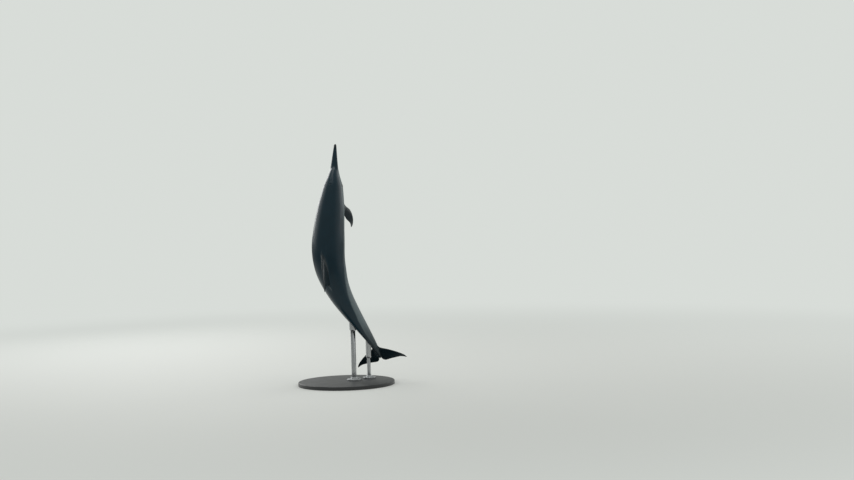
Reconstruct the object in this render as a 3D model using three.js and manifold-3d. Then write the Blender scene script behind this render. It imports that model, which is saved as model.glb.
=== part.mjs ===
// A spinner dolphin at life size, leaping straight up, held on a plain display stand.
//
// Units are millimetres and +Z is up. The dolphin is head up: its back faces -Y, its belly +Y
// and its right side +X, and its tail bends toward its belly and its right side. The origin is
// the middle of the stand's underside.
//
// The body is described by stations along its length. "at" is the share of the body length
// behind the beak tip, and every height and half width is a share of the body length too.
// The fins are foil sections strung along a curved blade, and the stand is turned and cut.

import * as THREE from 'three';
import { mergeVertices } from 'three/addons/utils/BufferGeometryUtils.js';
import Module from 'manifold-3d';

const wasm = await Module();
wasm.setup();

// ---------------------------------------------------------------- driving dimensions

const BODY_LENGTH = 1900; // beak tip to fluke notch, along the bent body
const GAP = 0.3; // left between pieces that touch
const TIP = { x: -55, y: 80, z: 1896 }; // beak tip from the middle of the stand's underside

// How far the long axis leans from upright, in degrees: plus "lean" toward the belly and plus
// "side" toward the right, as one goes up toward the beak.
const LEAN = [
  { at: 0.0, lean: 8, side: 2.5 },
  { at: 0.1, lean: 8.5, side: 1.5 },
  { at: 0.25, lean: 14, side: 4.7 },
  { at: 0.4, lean: 8.5, side: 2.4 },
  { at: 0.55, lean: -8.5, side: -14 },
  { at: 0.7, lean: -25.5, side: -24 },
  { at: 0.85, lean: -34, side: -21 },
  { at: 0.94, lean: -31, side: -16 },
  { at: 1.0, lean: -26, side: -12 },
];

// Half width, height above the axis on the back, height below it on the belly, and how far the
// section is pinched to a keel along its two edges (1 is a plain ellipse).
const STATIONS = [
  { at: 0.0, side: 0.0022, back: 0.0022, belly: 0.0032, keel: 1.0 }, // beak tip
  { at: 0.008, side: 0.0054, back: 0.0048, belly: 0.0064, keel: 1.0 },
  { at: 0.04, side: 0.0091, back: 0.0076, belly: 0.0092, keel: 1.0 }, // mid beak
  { at: 0.078, side: 0.0132, back: 0.0108, belly: 0.0128, keel: 1.0 },
  { at: 0.098, side: 0.0154, back: 0.0148, belly: 0.0158, keel: 1.0 }, // foot of the melon
  { at: 0.112, side: 0.0174, back: 0.0272, belly: 0.0186, keel: 1.0 },
  { at: 0.135, side: 0.0232, back: 0.0402, belly: 0.0244, keel: 1.0 }, // brow of the melon
  { at: 0.175, side: 0.0384, back: 0.0548, belly: 0.0376, keel: 1.0 }, // eyes and blowhole
  { at: 0.215, side: 0.0462, back: 0.0634, belly: 0.0492, keel: 1.0 }, // neck
  { at: 0.27, side: 0.0541, back: 0.0704, belly: 0.0616, keel: 1.0 }, // flipper roots
  { at: 0.34, side: 0.0599, back: 0.0768, belly: 0.0706, keel: 1.0 }, // chest
  { at: 0.43, side: 0.0657, back: 0.08, belly: 0.0752, keel: 1.0 }, // deepest belly
  { at: 0.52, side: 0.0614, back: 0.0766, belly: 0.0718, keel: 1.0 }, // below the dorsal fin
  { at: 0.61, side: 0.0478, back: 0.067, belly: 0.0616, keel: 1.03 },
  { at: 0.7, side: 0.0352, back: 0.0556, belly: 0.0512, keel: 1.09 }, // vent
  { at: 0.79, side: 0.0235, back: 0.0432, belly: 0.0418, keel: 1.2 },
  { at: 0.87, side: 0.0151, back: 0.0324, belly: 0.0302, keel: 1.35 }, // keels of the tail stock
  { at: 0.93, side: 0.0118, back: 0.021, belly: 0.0192, keel: 1.3 },
  { at: 0.965, side: 0.0116, back: 0.0124, belly: 0.0118, keel: 1.1 }, // fluke roots
  { at: 0.99, side: 0.0086, back: 0.0056, belly: 0.0054, keel: 1.0 },
];

// Where the body is parted into named lengths, as shares of the body length.
const LENGTHS = {
  front: { from: 0, to: 0.215 }, // beak, jaw and head, parted further below
  chest: { from: 0.215, to: 0.37 },
  abdomen: { from: 0.37, to: 0.615 },
  tail_stock: { from: 0.615, to: 0.82 },
  peduncle: { from: 0.82, to: 0.988 },
};

// Mouth: height of the mouth line above the axis along the beak, back to its corner.
const MOUTH = [
  { at: -0.02, height: 0.0006 },
  { at: 0.01, height: 0.0004 },
  { at: 0.07, height: -0.0006 },
  { at: 0.11, height: -0.0046 },
  { at: 0.128, height: -0.0064 },
  { at: 0.14, height: -0.0044 }, // corner, turned up a little
];
const MOUTH_STEPS = 14;
const MELON_FOOT_AT = 0.0985; // crease between beak and forehead, on the midline
const JAW_END_AT = 0.176; // back of the lower jaw, on the throat
const PARTING_REACH = 228; // how far the cutting blocks run past the skin
const PARTING_HALF_WIDTH = 200;

// Eyes and blowhole
const EYE_AT = 0.1725;
const EYE_ANGLE = 93; // degrees round from the middle of the back
const EYE_LENGTH = 25;
const EYE_HEIGHT = 19;
const EYE_DEPTH = 18;
const EYE_PROUD = 2.2; // how far the eyeball stands out of the head
const BLOWHOLE_AT = 0.179;
const BLOWHOLE_WIDTH = 30;
const BLOWHOLE_LENGTH = 12;
const BLOWHOLE_DEPTH = 10;
const BLOWHOLE_PROUD = 1;

// Dorsal fin, measured from its own root line
const DORSAL = {
  at: 0.522, // middle of its base
  base: 282,
  height: 182, // tip above the back
  rootDepth: 30, // how far the blade starts inside the back
  tipBehind: 128, // tip behind the middle of the base
  tipChord: 17,
  leadCurve: 1.12, // how late the leading edge sweeps back, 1 being straight
  leadBulge: 24, // convex leading edge
  leadBulgeAt: 0.4, // the less, the higher up it bulges
  trailHollow: 34, // concave trailing edge
  trailHollowAt: 1.45, // the less, the lower down it is hollow
  roundFrom: 0.9, // share of the height where the tip starts to round off
  roundBy: 0.6, // share of the chord that is rounded off at the very tip
  thickness: 0.135, // share of the chord
  tipThinning: 0.25,
};

// Flippers
const FLIPPER = {
  at: 0.267, // middle of the root
  angle: 121, // degrees round from the middle of the back
  length: 228, // root to tip, along the straight part of its sweep
  sweep: 14, // degrees back from straight out
  droop: 72, // degrees below straight out to the side
  trail: 44, // how far the tip curves back
  curl: 62, // how far the tip curves in
  rootDepth: 26,
  thickness: 0.19,
  tipThinning: 0.35,
};
const FLIPPER_CHORDS = [
  { at: 0, chord: 90 },
  { at: 0.3, chord: 94 },
  { at: 0.65, chord: 62 },
  { at: 0.88, chord: 32 },
  { at: 1, chord: 14 },
];

// Flukes: both edges as distances behind the fluke centre, from the midline out to the tip
const FLUKE = { at: 0.966, halfSpan: 214, thickness: 0.15, tipThinning: 0.3 };
const FLUKE_LEAD = [
  { at: 0, behind: -70 },
  { at: 0.12, behind: -59 },
  { at: 0.4, behind: -26 },
  { at: 0.7, behind: 17 },
  { at: 0.9, behind: 53 },
  { at: 1, behind: 75 },
];
const FLUKE_TRAIL = [
  { at: 0, behind: 57 }, // notch
  { at: 0.05, behind: 66 },
  { at: 0.16, behind: 74 }, // lobe beside the notch
  { at: 0.4, behind: 70 },
  { at: 0.75, behind: 69 },
  { at: 1, behind: 88 },
];

// The section of a fin: its front is full and its thickness runs out toward the trailing edge
const FOIL_FULLNESS = 1.25;
const FOIL_TAPER = 0.85;
const FOIL_THINNEST = 3;

// Display stand
const BASE_RADIUS = 380;
const BASE_THICKNESS = 28;
const BASE_EDGE = 6; // round along its top edge
const BASE_FOOT_EDGE = 1;
const RODS = {
  front: { at: 0.735, radius: 19, sleeveFoot: 420 }, // up into the tail stock
  rear: { at: 0.865, radius: 14, sleeveFoot: 190 }, // up into the root of the tail
};
const SLEEVE_WALL = 7;
const SLEEVE_LIP = 2; // wall left at its tapered foot
const SLEEVE_TAPER = 10;
const FLANGE_WIDTH = 38; // from the rod to the rim of its flange
const FLANGE_THICKNESS = 12;
const FLANGE_BEVEL = 3;
const FLANGE_COLLAR = 14; // height of the collar round the rod
const COLLAR_WALL = { foot: 10, top: 6 };
const SCREW_COUNT = 4;
const SCREW_INSET = 15; // from the rim of the flange to the middle of its screws
const SCREW_HEAD_RADIUS = 7;
const SCREW_HEAD_HEIGHT = 4;
const SCREW_CROWN = { radius: 5, height: 3.4 }; // where the head turns over to its top

// How finely the surfaces are cut into facets
const RING_STEPS = 28;
const HEAD_RING_SPACING = 0.0125;
const BODY_RING_SPACING = 0.024;
const EYE_STEPS = { round: 14, over: 8 };
const BLADE_STEPS = 16;
const DORSAL_SHARES = [0, 0.12, 0.26, 0.4, 0.54, 0.68, 0.8, 0.9, 0.965, 1];
const FLIPPER_SHARES = [0, 0.1, 0.22, 0.34, 0.46, 0.58, 0.7, 0.8, 0.89, 0.96, 1];
const FLUKE_SHARES = [0, 0.05, 0.1, 0.17, 0.27, 0.4, 0.53, 0.66, 0.78, 0.88, 0.95, 1];
const BASE_STEPS = 48;
const ROD_STEPS = 20;
const SCREW_STEPS = 10;

// ---------------------------------------------------------------- colours

const SLATE = new THREE.MeshStandardMaterial({ color: 0x3a4750, roughness: 0.35, metalness: 0 });
const DARK_SLATE = new THREE.MeshStandardMaterial({ color: 0x242d33, roughness: 0.35, metalness: 0 });
const EYE_BROWN = new THREE.MeshStandardMaterial({ color: 0x14100d, roughness: 0.08, metalness: 0 });
const STEEL = new THREE.MeshStandardMaterial({ color: 0xb4b7b9, roughness: 0.3, metalness: 1 });
const CHARCOAL = new THREE.MeshStandardMaterial({ color: 0x2b2c2e, roughness: 0.55, metalness: 0 });

// ---------------------------------------------------------------- smooth curves

/** A curve through (at, value) rows that never overshoots them. */
function curveThrough(rows, key) {
  const xs = rows.map((row) => row.at);
  const ys = rows.map((row) => row[key]);
  const slopes = xs.slice(1).map((x, i) => (ys[i + 1] - ys[i]) / (x - xs[i]));
  const tangents = ys.map((_, i) => {
    if (i === 0) return slopes[0];
    if (i === ys.length - 1) return slopes[i - 1];
    const before = slopes[i - 1];
    const after = slopes[i];
    return before * after <= 0 ? 0 : (2 * before * after) / (before + after);
  });
  return (x) => {
    const last = xs.length - 1;
    if (x <= xs[0]) return ys[0] + tangents[0] * (x - xs[0]);
    if (x >= xs[last]) return ys[last] + tangents[last] * (x - xs[last]);
    const i = xs.findIndex((knot) => knot > x) - 1;
    const span = xs[i + 1] - xs[i];
    const t = (x - xs[i]) / span;
    const rise = ys[i + 1] - ys[i];
    const bow = (1 - t) * (tangents[i] * span - rise) - t * (tangents[i + 1] * span - rise);
    return ys[i] + rise * t + t * (1 - t) * bow;
  };
}

const leanAt = curveThrough(LEAN, 'lean');
const sideLeanAt = curveThrough(LEAN, 'side');
const sideAt = curveThrough(STATIONS, 'side');
const backAt = curveThrough(STATIONS, 'back');
const bellyAt = curveThrough(STATIONS, 'belly');
const keelAt = curveThrough(STATIONS, 'keel');
const mouthAt = curveThrough(MOUTH, 'height');
const flipperChordAt = curveThrough(FLIPPER_CHORDS, 'chord');
const flukeLeadAt = curveThrough(FLUKE_LEAD, 'behind');
const flukeTrailAt = curveThrough(FLUKE_TRAIL, 'behind');

// ---------------------------------------------------------------- the bent long axis

const AXIS_STEPS = 500;

/** The directions of the body at a share of its length: to the beak, the back and the right. */
function directionsAt(at) {
  const lean = THREE.MathUtils.degToRad(leanAt(at));
  const side = THREE.MathUtils.degToRad(sideLeanAt(at));
  const forward = new THREE.Vector3(
    Math.sin(side),
    Math.cos(side) * Math.sin(lean),
    Math.cos(side) * Math.cos(lean),
  );
  const back = new THREE.Vector3(0, -Math.cos(lean), Math.sin(lean));
  const right = new THREE.Vector3().crossVectors(forward, back);
  return { forward, back, right };
}

/** Points of the long axis, from the beak tip to the fluke notch. */
function buildAxis() {
  const step = BODY_LENGTH / AXIS_STEPS;
  const points = [new THREE.Vector3(TIP.x, TIP.y, TIP.z)];
  for (let i = 0; i < AXIS_STEPS; i += 1) {
    const { forward } = directionsAt((i + 0.5) / AXIS_STEPS);
    points.push(points[i].clone().addScaledVector(forward, -step));
  }
  return points;
}

const AXIS = buildAxis();

/** The local frame of the body at a share of its length, run straight on past its ends. */
function frameAt(at) {
  const inside = THREE.MathUtils.clamp(at, 0, 1);
  const directions = directionsAt(inside);
  const place = inside * AXIS_STEPS;
  const i = Math.min(Math.floor(place), AXIS_STEPS - 1);
  const origin = AXIS[i].clone().lerp(AXIS[i + 1], place - i);
  origin.addScaledVector(directions.forward, -(at - inside) * BODY_LENGTH);
  return { origin, ...directions };
}

/** A point of space from a share of length, a place to the right and a height to the back. */
function bodyPoint(at, right, up) {
  const frame = frameAt(at);
  return frame.origin.addScaledVector(frame.right, right).addScaledVector(frame.back, up);
}

/** A point of the skin, at an angle round from the middle of the back toward the right. */
function skinPoint(at, degrees, grow = 0) {
  const angle = THREE.MathUtils.degToRad(degrees);
  const sine = Math.sin(angle);
  const cosine = Math.cos(angle);
  const pinched = sine * Math.abs(sine) ** (keelAt(at) - 1);
  const height = cosine >= 0 ? backAt(at) : bellyAt(at);
  const right = (sideAt(at) * BODY_LENGTH + grow) * pinched;
  return bodyPoint(at, right, (height * BODY_LENGTH + grow) * cosine);
}

/** The outward direction of the skin at a place. */
function skinNormal(at, degrees) {
  const alongStep = 0.002;
  const roundStep = 2; // degrees
  const along = skinPoint(at + alongStep, degrees).sub(skinPoint(at - alongStep, degrees));
  const round = skinPoint(at, degrees + roundStep).sub(skinPoint(at, degrees - roundStep));
  return along.cross(round).normalize();
}

// ---------------------------------------------------------------- solids

/** A closed geometry over rings of equal count, with a fan over each end. */
function loftRings(rings) {
  const count = rings[0].length;
  const points = rings.flat();
  const middles = [rings[0], rings[rings.length - 1]].map((ring) => {
    const sum = ring.reduce((total, point) => total.add(point), new THREE.Vector3());
    return sum.divideScalar(count);
  });
  points.push(...middles);
  const index = [];
  for (let r = 0; r < rings.length - 1; r += 1) {
    for (let i = 0; i < count; i += 1) {
      const next = (i + 1) % count;
      const a = r * count + i;
      const b = r * count + next;
      index.push(a, a + count, b, b, a + count, b + count);
    }
  }
  const lastRing = (rings.length - 1) * count;
  for (let i = 0; i < count; i += 1) {
    const next = (i + 1) % count;
    index.push(rings.length * count, i, next);
    index.push(rings.length * count + 1, lastRing + next, lastRing + i);
  }
  const geometry = new THREE.BufferGeometry();
  geometry.setAttribute('position', new THREE.Float32BufferAttribute(points.flatMap((p) => p.toArray()), 3));
  geometry.setIndex(index);
  return geometry;
}

function signedVolume(geometry) {
  const position = geometry.getAttribute('position');
  const order = geometry.index.array;
  const [a, b, c] = [new THREE.Vector3(), new THREE.Vector3(), new THREE.Vector3()];
  let volume = 0;
  for (let i = 0; i < order.length; i += 3) {
    a.fromBufferAttribute(position, order[i]);
    b.fromBufferAttribute(position, order[i + 1]);
    c.fromBufferAttribute(position, order[i + 2]);
    volume += a.dot(b.cross(c)) / 6;
  }
  return volume;
}

function turnedOut(geometry) {
  const order = Array.from(geometry.index.array);
  for (let i = 0; i < order.length; i += 3) {
    [order[i + 1], order[i + 2]] = [order[i + 2], order[i + 1]];
  }
  geometry.setIndex(order);
  return geometry;
}

function toSolid(geometry) {
  const bare = geometry.clone();
  bare.deleteAttribute('normal');
  bare.deleteAttribute('uv');
  const welded = mergeVertices(bare, 1e-4);
  const merged = signedVolume(welded) < 0 ? turnedOut(welded) : welded;
  const vertProperties = new Float32Array(merged.getAttribute('position').array);
  const triVerts = new Uint32Array(merged.index.array);
  return new wasm.Manifold(new wasm.Mesh({ numProp: 3, vertProperties, triVerts }));
}

function toGeometry(solid) {
  const mesh = solid.getMesh();
  const geometry = new THREE.BufferGeometry();
  geometry.setAttribute('position', new THREE.Float32BufferAttribute(mesh.vertProperties, 3));
  geometry.setIndex(Array.from(mesh.triVerts));
  geometry.computeVertexNormals();
  return geometry;
}

/** A cutting block right across the body, from an outline of (share, height) points. */
function parting(outline) {
  const corners = outline.map(([at, up]) => new THREE.Vector2(at * BODY_LENGTH, up));
  const depth = 2 * PARTING_HALF_WIDTH;
  const block = new THREE.ExtrudeGeometry(new THREE.Shape(corners), { depth, bevelEnabled: false });
  const position = block.getAttribute('position');
  for (let i = 0; i < position.count; i += 1) {
    const at = position.getX(i) / BODY_LENGTH;
    const right = position.getZ(i) - PARTING_HALF_WIDTH;
    const point = bodyPoint(at, right, position.getY(i));
    position.setXYZ(i, point.x, point.y, point.z);
  }
  return toSolid(block);
}

// ---------------------------------------------------------------- body lengths

/** One named length of the body, stood off from its neighbours by half the gap. */
function bodyLength(name, grow = 0) {
  const halfGap = GAP / 2 / BODY_LENGTH;
  const from = LENGTHS[name].from + halfGap;
  const to = LENGTHS[name].to - halfGap;
  const spacing = name === 'front' ? HEAD_RING_SPACING : BODY_RING_SPACING;
  const steps = Math.ceil((to - from) / spacing);
  const rings = [];
  for (let i = 0; i <= steps; i += 1) {
    rings.push(ringAt(from + ((to - from) * i) / steps, grow));
  }
  return toSolid(loftRings(rings));
}

function ringAt(at, grow) {
  const ring = [];
  for (let i = 0; i < RING_STEPS; i += 1) {
    ring.push(skinPoint(at, (360 * i) / RING_STEPS, grow));
  }
  return ring;
}

/** The mouth line in side view, moved up for one lip and down for the other, and cut short. */
function mouthLine(shift) {
  const line = [];
  const first = MOUTH[0].at;
  const corner = MOUTH[MOUTH.length - 1].at - (4 * Math.abs(shift)) / BODY_LENGTH;
  for (let i = 0; i <= MOUTH_STEPS; i += 1) {
    const at = first + ((corner - first) * i) / MOUTH_STEPS;
    line.push([at, mouthAt(at) * BODY_LENGTH + shift]);
  }
  return line;
}

/** Everything below the mouth line and ahead of the throat. */
function jawRegion(gap) {
  return parting([
    ...mouthLine(-gap),
    [JAW_END_AT - gap / BODY_LENGTH, -PARTING_REACH],
    [MOUTH[0].at, -PARTING_REACH],
  ]);
}

/** Everything above the mouth line and ahead of the melon's crease. */
function beakRegion(gap) {
  const crease = MELON_FOOT_AT - (2 * gap) / BODY_LENGTH;
  return parting([
    ...mouthLine(gap),
    [crease, backAt(crease) * BODY_LENGTH],
    [crease, PARTING_REACH],
    [MOUTH[0].at, PARTING_REACH],
  ]);
}

/** Everything ahead of the forehead and the throat: the beak and the jaw in one. */
function snoutRegion() {
  return parting([
    [MOUTH[0].at, PARTING_REACH],
    [MELON_FOOT_AT, PARTING_REACH],
    [MELON_FOOT_AT, backAt(MELON_FOOT_AT) * BODY_LENGTH],
    mouthLine(0).pop(),
    [JAW_END_AT, -PARTING_REACH],
    [MOUTH[0].at, -PARTING_REACH],
  ]);
}

// ---------------------------------------------------------------- eyes and blowhole

/** An ellipsoid set in the skin: its long way runs along the body and its depth goes inwards. */
function setInSkin(at, degrees, size, proud, grow) {
  const normal = skinNormal(at, degrees);
  const along = frameAt(at).forward.clone();
  along.addScaledVector(normal, -along.dot(normal)).normalize();
  const across = new THREE.Vector3().crossVectors(normal, along);
  const centre = skinPoint(at, degrees).addScaledVector(normal, proud - size.depth / 2);
  const ball = new THREE.SphereGeometry(1, EYE_STEPS.round, EYE_STEPS.over);
  ball.scale(size.along / 2 + grow, size.across / 2 + grow, size.depth / 2 + grow);
  ball.applyMatrix4(new THREE.Matrix4().makeBasis(along, across, normal).setPosition(centre));
  return toSolid(ball);
}

function eyeball(side, grow = 0) {
  const size = { along: EYE_LENGTH, across: EYE_HEIGHT, depth: EYE_DEPTH };
  return setInSkin(EYE_AT, side * EYE_ANGLE, size, EYE_PROUD, grow);
}

function blowhole(grow = 0) {
  const size = { along: BLOWHOLE_LENGTH, across: BLOWHOLE_WIDTH, depth: BLOWHOLE_DEPTH };
  return setInSkin(BLOWHOLE_AT, 0, size, BLOWHOLE_PROUD, grow);
}

// ---------------------------------------------------------------- fins

/** A foil section between a leading and a trailing point, half its thickness to each side. */
function foilRing(lead, trail, thicknessWay, thickness) {
  const ring = [];
  const chord = trail.clone().sub(lead);
  for (let i = 0; i < BLADE_STEPS; i += 1) {
    const angle = (2 * Math.PI * i) / BLADE_STEPS;
    const along = (1 - Math.cos(angle)) / 2;
    const fullness = Math.sin(angle) * (FOIL_FULLNESS - FOIL_TAPER * along);
    const point = lead.clone().addScaledVector(chord, along);
    ring.push(point.addScaledVector(thicknessWay, (fullness * thickness) / 2));
  }
  return ring;
}

/** Thickness of a fin at a share of its length, where its section has a given chord. */
function foilThickness(fin, chord, share) {
  return Math.max(chord * fin.thickness * (1 - fin.tipThinning * share), FOIL_THINNEST);
}

/** Edges of the dorsal fin at a share of its height, as distances behind the middle of its base. */
function dorsalEdges(share) {
  const lead = -DORSAL.base / 2;
  const leadTip = DORSAL.tipBehind - DORSAL.tipChord / 2;
  const trail = DORSAL.base / 2;
  const trailTip = DORSAL.tipBehind + DORSAL.tipChord / 2;
  const bow = 4 * share * (1 - share);
  const bulge = DORSAL.leadBulge * bow * (DORSAL.leadBulgeAt + share);
  const hollow = DORSAL.trailHollow * bow * (DORSAL.trailHollowAt - share);
  return {
    lead: lead + (leadTip - lead) * share ** DORSAL.leadCurve - bulge,
    trail: trail + (trailTip - trail) * share - hollow,
  };
}

/** One section of the dorsal fin, which may start below the skin of the back. */
function dorsalRing(share, rise) {
  const frame = frameAt(DORSAL.at);
  const foot = backAt(DORSAL.at) * BODY_LENGTH;
  const { lead, trail } = dorsalEdges(share);
  const place = (behind) => frame.origin.clone()
    .addScaledVector(frame.back, foot + rise)
    .addScaledVector(frame.forward, -behind);
  const roundedOff = Math.max(share - DORSAL.roundFrom, 0) / (1 - DORSAL.roundFrom);
  const rounding = 1 - DORSAL.roundBy * roundedOff;
  const chord = trail - lead;
  const middle = (trail + lead) / 2;
  const half = (chord / 2) * rounding;
  const thickness = foilThickness(DORSAL, chord, share) * rounding;
  return foilRing(place(middle - half), place(middle + half), frame.right, thickness);
}

function dorsalFin() {
  const root = dorsalRing(0, -DORSAL.rootDepth);
  const blade = DORSAL_SHARES.map((share) => dorsalRing(share, share * DORSAL.height));
  return toSolid(loftRings([root, ...blade]));
}

function flipper(side) {
  const { forward, back, right } = frameAt(FLIPPER.at);
  const droop = THREE.MathUtils.degToRad(FLIPPER.droop);
  const sweep = THREE.MathUtils.degToRad(FLIPPER.sweep);
  const out = right.clone().multiplyScalar(side * Math.cos(droop));
  out.addScaledVector(back, -Math.sin(droop));
  const flat = new THREE.Vector3().crossVectors(out, forward).normalize();
  const root = skinPoint(FLIPPER.at, side * FLIPPER.angle).addScaledVector(out, -FLIPPER.rootDepth);
  const reach = FLIPPER.length + FLIPPER.rootDepth;
  const middleAt = (share) => {
    const outward = reach * share * Math.cos(sweep) - FLIPPER.curl * share ** 3;
    const backward = reach * share * Math.sin(sweep) + FLIPPER.trail * share ** 2;
    return root.clone().addScaledVector(out, outward).addScaledVector(forward, -backward);
  };
  const step = 0.01;
  const rings = FLIPPER_SHARES.map((share) => {
    const middle = middleAt(share);
    const run = middleAt(share + step).sub(middleAt(share - step));
    const chordWay = run.cross(flat).normalize();
    if (chordWay.dot(forward) > 0) chordWay.negate();
    const chord = flipperChordAt(share);
    const lead = middle.clone().addScaledVector(chordWay, -chord / 2);
    const trail = middle.clone().addScaledVector(chordWay, chord / 2);
    return foilRing(lead, trail, flat, foilThickness(FLIPPER, chord, share));
  });
  return toSolid(loftRings(rings));
}

function fluke(side) {
  const frame = frameAt(FLUKE.at);
  const rings = FLUKE_SHARES.map((share) => {
    const right = side * Math.max(share * FLUKE.halfSpan, GAP / 2);
    const place = (behind) => frame.origin.clone()
      .addScaledVector(frame.right, right)
      .addScaledVector(frame.forward, -behind);
    const lead = flukeLeadAt(share);
    const trail = flukeTrailAt(share);
    const thickness = foilThickness(FLUKE, trail - lead, share);
    return foilRing(place(lead), place(trail), frame.back, thickness);
  });
  return toSolid(loftRings(rings));
}

// ---------------------------------------------------------------- display stand

/** A turned solid from an outline of (radius, height) points that starts and ends on its axis. */
function turned(outline, [x, y, z], steps) {
  const profile = outline.map(([radius, height]) => new THREE.Vector2(radius, height));
  const lathe = new THREE.LatheGeometry(profile, steps);
  lathe.rotateX(Math.PI / 2);
  lathe.translate(x, y, z);
  return toSolid(lathe);
}

function standBase() {
  const edgeMiddle = BASE_EDGE * (1 - Math.SQRT1_2); // inset of the round edge halfway round
  return turned([
    [0, 0],
    [BASE_RADIUS - BASE_FOOT_EDGE, 0],
    [BASE_RADIUS, BASE_FOOT_EDGE],
    [BASE_RADIUS, BASE_THICKNESS - BASE_EDGE],
    [BASE_RADIUS - edgeMiddle, BASE_THICKNESS - edgeMiddle],
    [BASE_RADIUS - BASE_EDGE, BASE_THICKNESS],
    [0, BASE_THICKNESS],
  ], [0, 0, 0], BASE_STEPS);
}

/** An upright rod from the base to the long axis, to be cut off where it meets the skin. */
function rod({ at, radius }) {
  const { x, y, z } = frameAt(at).origin;
  const foot = BASE_THICKNESS + GAP;
  return turned([
    [0, 0],
    [radius, 0],
    [radius, z - foot],
    [0, z - foot],
  ], [x, y, foot], ROD_STEPS);
}

/** A flange on the base, bored for its rod. */
function flange({ at, radius }) {
  const { x, y } = frameAt(at).origin;
  const inner = radius + GAP;
  const rim = radius + FLANGE_WIDTH;
  const top = FLANGE_THICKNESS + FLANGE_COLLAR;
  return turned([
    [inner, 0],
    [rim, 0],
    [rim, FLANGE_THICKNESS - FLANGE_BEVEL],
    [rim - FLANGE_BEVEL, FLANGE_THICKNESS],
    [inner + COLLAR_WALL.foot, FLANGE_THICKNESS],
    [inner + COLLAR_WALL.top, top],
    [inner, top],
    [inner, 0],
  ], [x, y, BASE_THICKNESS + GAP], ROD_STEPS);
}

/** One of the screws round a flange, at a share of a turn. */
function screw({ at, radius }, share) {
  const { x, y } = frameAt(at).origin;
  const angle = 2 * Math.PI * (share + 0.5 / SCREW_COUNT);
  const circle = radius + FLANGE_WIDTH - SCREW_INSET;
  const foot = BASE_THICKNESS + FLANGE_THICKNESS + 2 * GAP;
  return turned([
    [0, 0],
    [SCREW_HEAD_RADIUS, 0],
    [SCREW_HEAD_RADIUS, SCREW_HEAD_HEIGHT / 2],
    [SCREW_CROWN.radius, SCREW_CROWN.height],
    [0, SCREW_HEAD_HEIGHT],
  ], [x + circle * Math.cos(angle), y + circle * Math.sin(angle), foot], SCREW_STEPS);
}

/** A tapered sleeve round the top of a rod, to be cut to the skin that it holds. */
function sleeve({ at, radius, sleeveFoot }) {
  const { x, y, z } = frameAt(at).origin;
  const inner = radius + GAP;
  const outer = inner + SLEEVE_WALL;
  return turned([
    [inner, 0],
    [inner + SLEEVE_LIP, 0],
    [outer, SLEEVE_TAPER],
    [outer, z - sleeveFoot],
    [inner, z - sleeveFoot],
    [inner, 0],
  ], [x, y, sleeveFoot], ROD_STEPS);
}

// ---------------------------------------------------------------- the whole model

const model = new THREE.Group();
model.name = 'spinner_dolphin';

function place(name, solid, material) {
  const mesh = new THREE.Mesh(toGeometry(solid), material);
  mesh.name = name;
  model.add(mesh);
}

function placeHead(front) {
  const face = front.subtract(snoutRegion());
  const sockets = eyeball(1, GAP).add(eyeball(-1, GAP)).add(blowhole(GAP));
  place('head', face.subtract(sockets), SLATE);
  place('upper_beak', front.intersect(beakRegion(GAP)), SLATE);
  place('lower_jaw', front.intersect(jawRegion(GAP)), SLATE);
  place('eye_right', eyeball(1), EYE_BROWN);
  place('eye_left', eyeball(-1), EYE_BROWN);
  place('blowhole', blowhole(), DARK_SLATE);
}

function placeBody() {
  for (const name of ['chest', 'abdomen', 'tail_stock', 'peduncle']) {
    place(name, bodyLength(name), SLATE);
  }
}

function placeFins() {
  const chest = bodyLength('chest', GAP);
  const peduncle = bodyLength('peduncle', GAP);
  place('dorsal_fin', dorsalFin().subtract(bodyLength('abdomen', GAP)), DARK_SLATE);
  for (const [name, side] of Object.entries({ right: 1, left: -1 })) {
    place(`flipper_${name}`, flipper(side).subtract(chest), DARK_SLATE);
    place(`fluke_${name}`, fluke(side).subtract(peduncle), DARK_SLATE);
  }
}

function placeStand() {
  const tail = bodyLength('tail_stock', GAP).add(bodyLength('peduncle', GAP));
  place('stand_base', standBase(), CHARCOAL);
  for (const [name, size] of Object.entries(RODS)) {
    place(`stand_rod_${name}`, rod(size).subtract(tail), STEEL);
    place(`stand_sleeve_${name}`, sleeve(size).subtract(tail), STEEL);
    place(`stand_flange_${name}`, flange(size), STEEL);
    for (let i = 0; i < SCREW_COUNT; i += 1) {
      place(`stand_screw_${name}_${i + 1}`, screw(size, i / SCREW_COUNT), STEEL);
    }
  }
}

placeHead(bodyLength('front'));
placeBody();
placeFins();
placeStand();

export default model;
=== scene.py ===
"""A spinner dolphin at life size, leaping straight up, held on a plain display stand.

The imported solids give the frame. One closed skin replaces the lengths of flesh and the fins; the
eyes, the rods and the base are pieces of their own. Everything is in metres with +Z up: the
dolphin is head up, its back faces -Y, its belly +Y and its right side +X.

The skin is a cage of quads. A ring of points is extruded from the beak to the tail, the fins are
extruded from patches of that trunk, and the eyes, blowhole and slits are sunk into it. Each point
of the cage carries its address, the number of its ring and of its line along the body, so that
every extrusion can be set to its section. Subdivision then makes the smooth surface.
"""

from __future__ import annotations

import logging
import math
from collections.abc import Callable, Iterable, Iterator, Sequence
from contextlib import contextmanager
from dataclasses import dataclass, field
from enum import Enum

import bmesh
import bpy
from mathutils import Matrix, Vector

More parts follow.
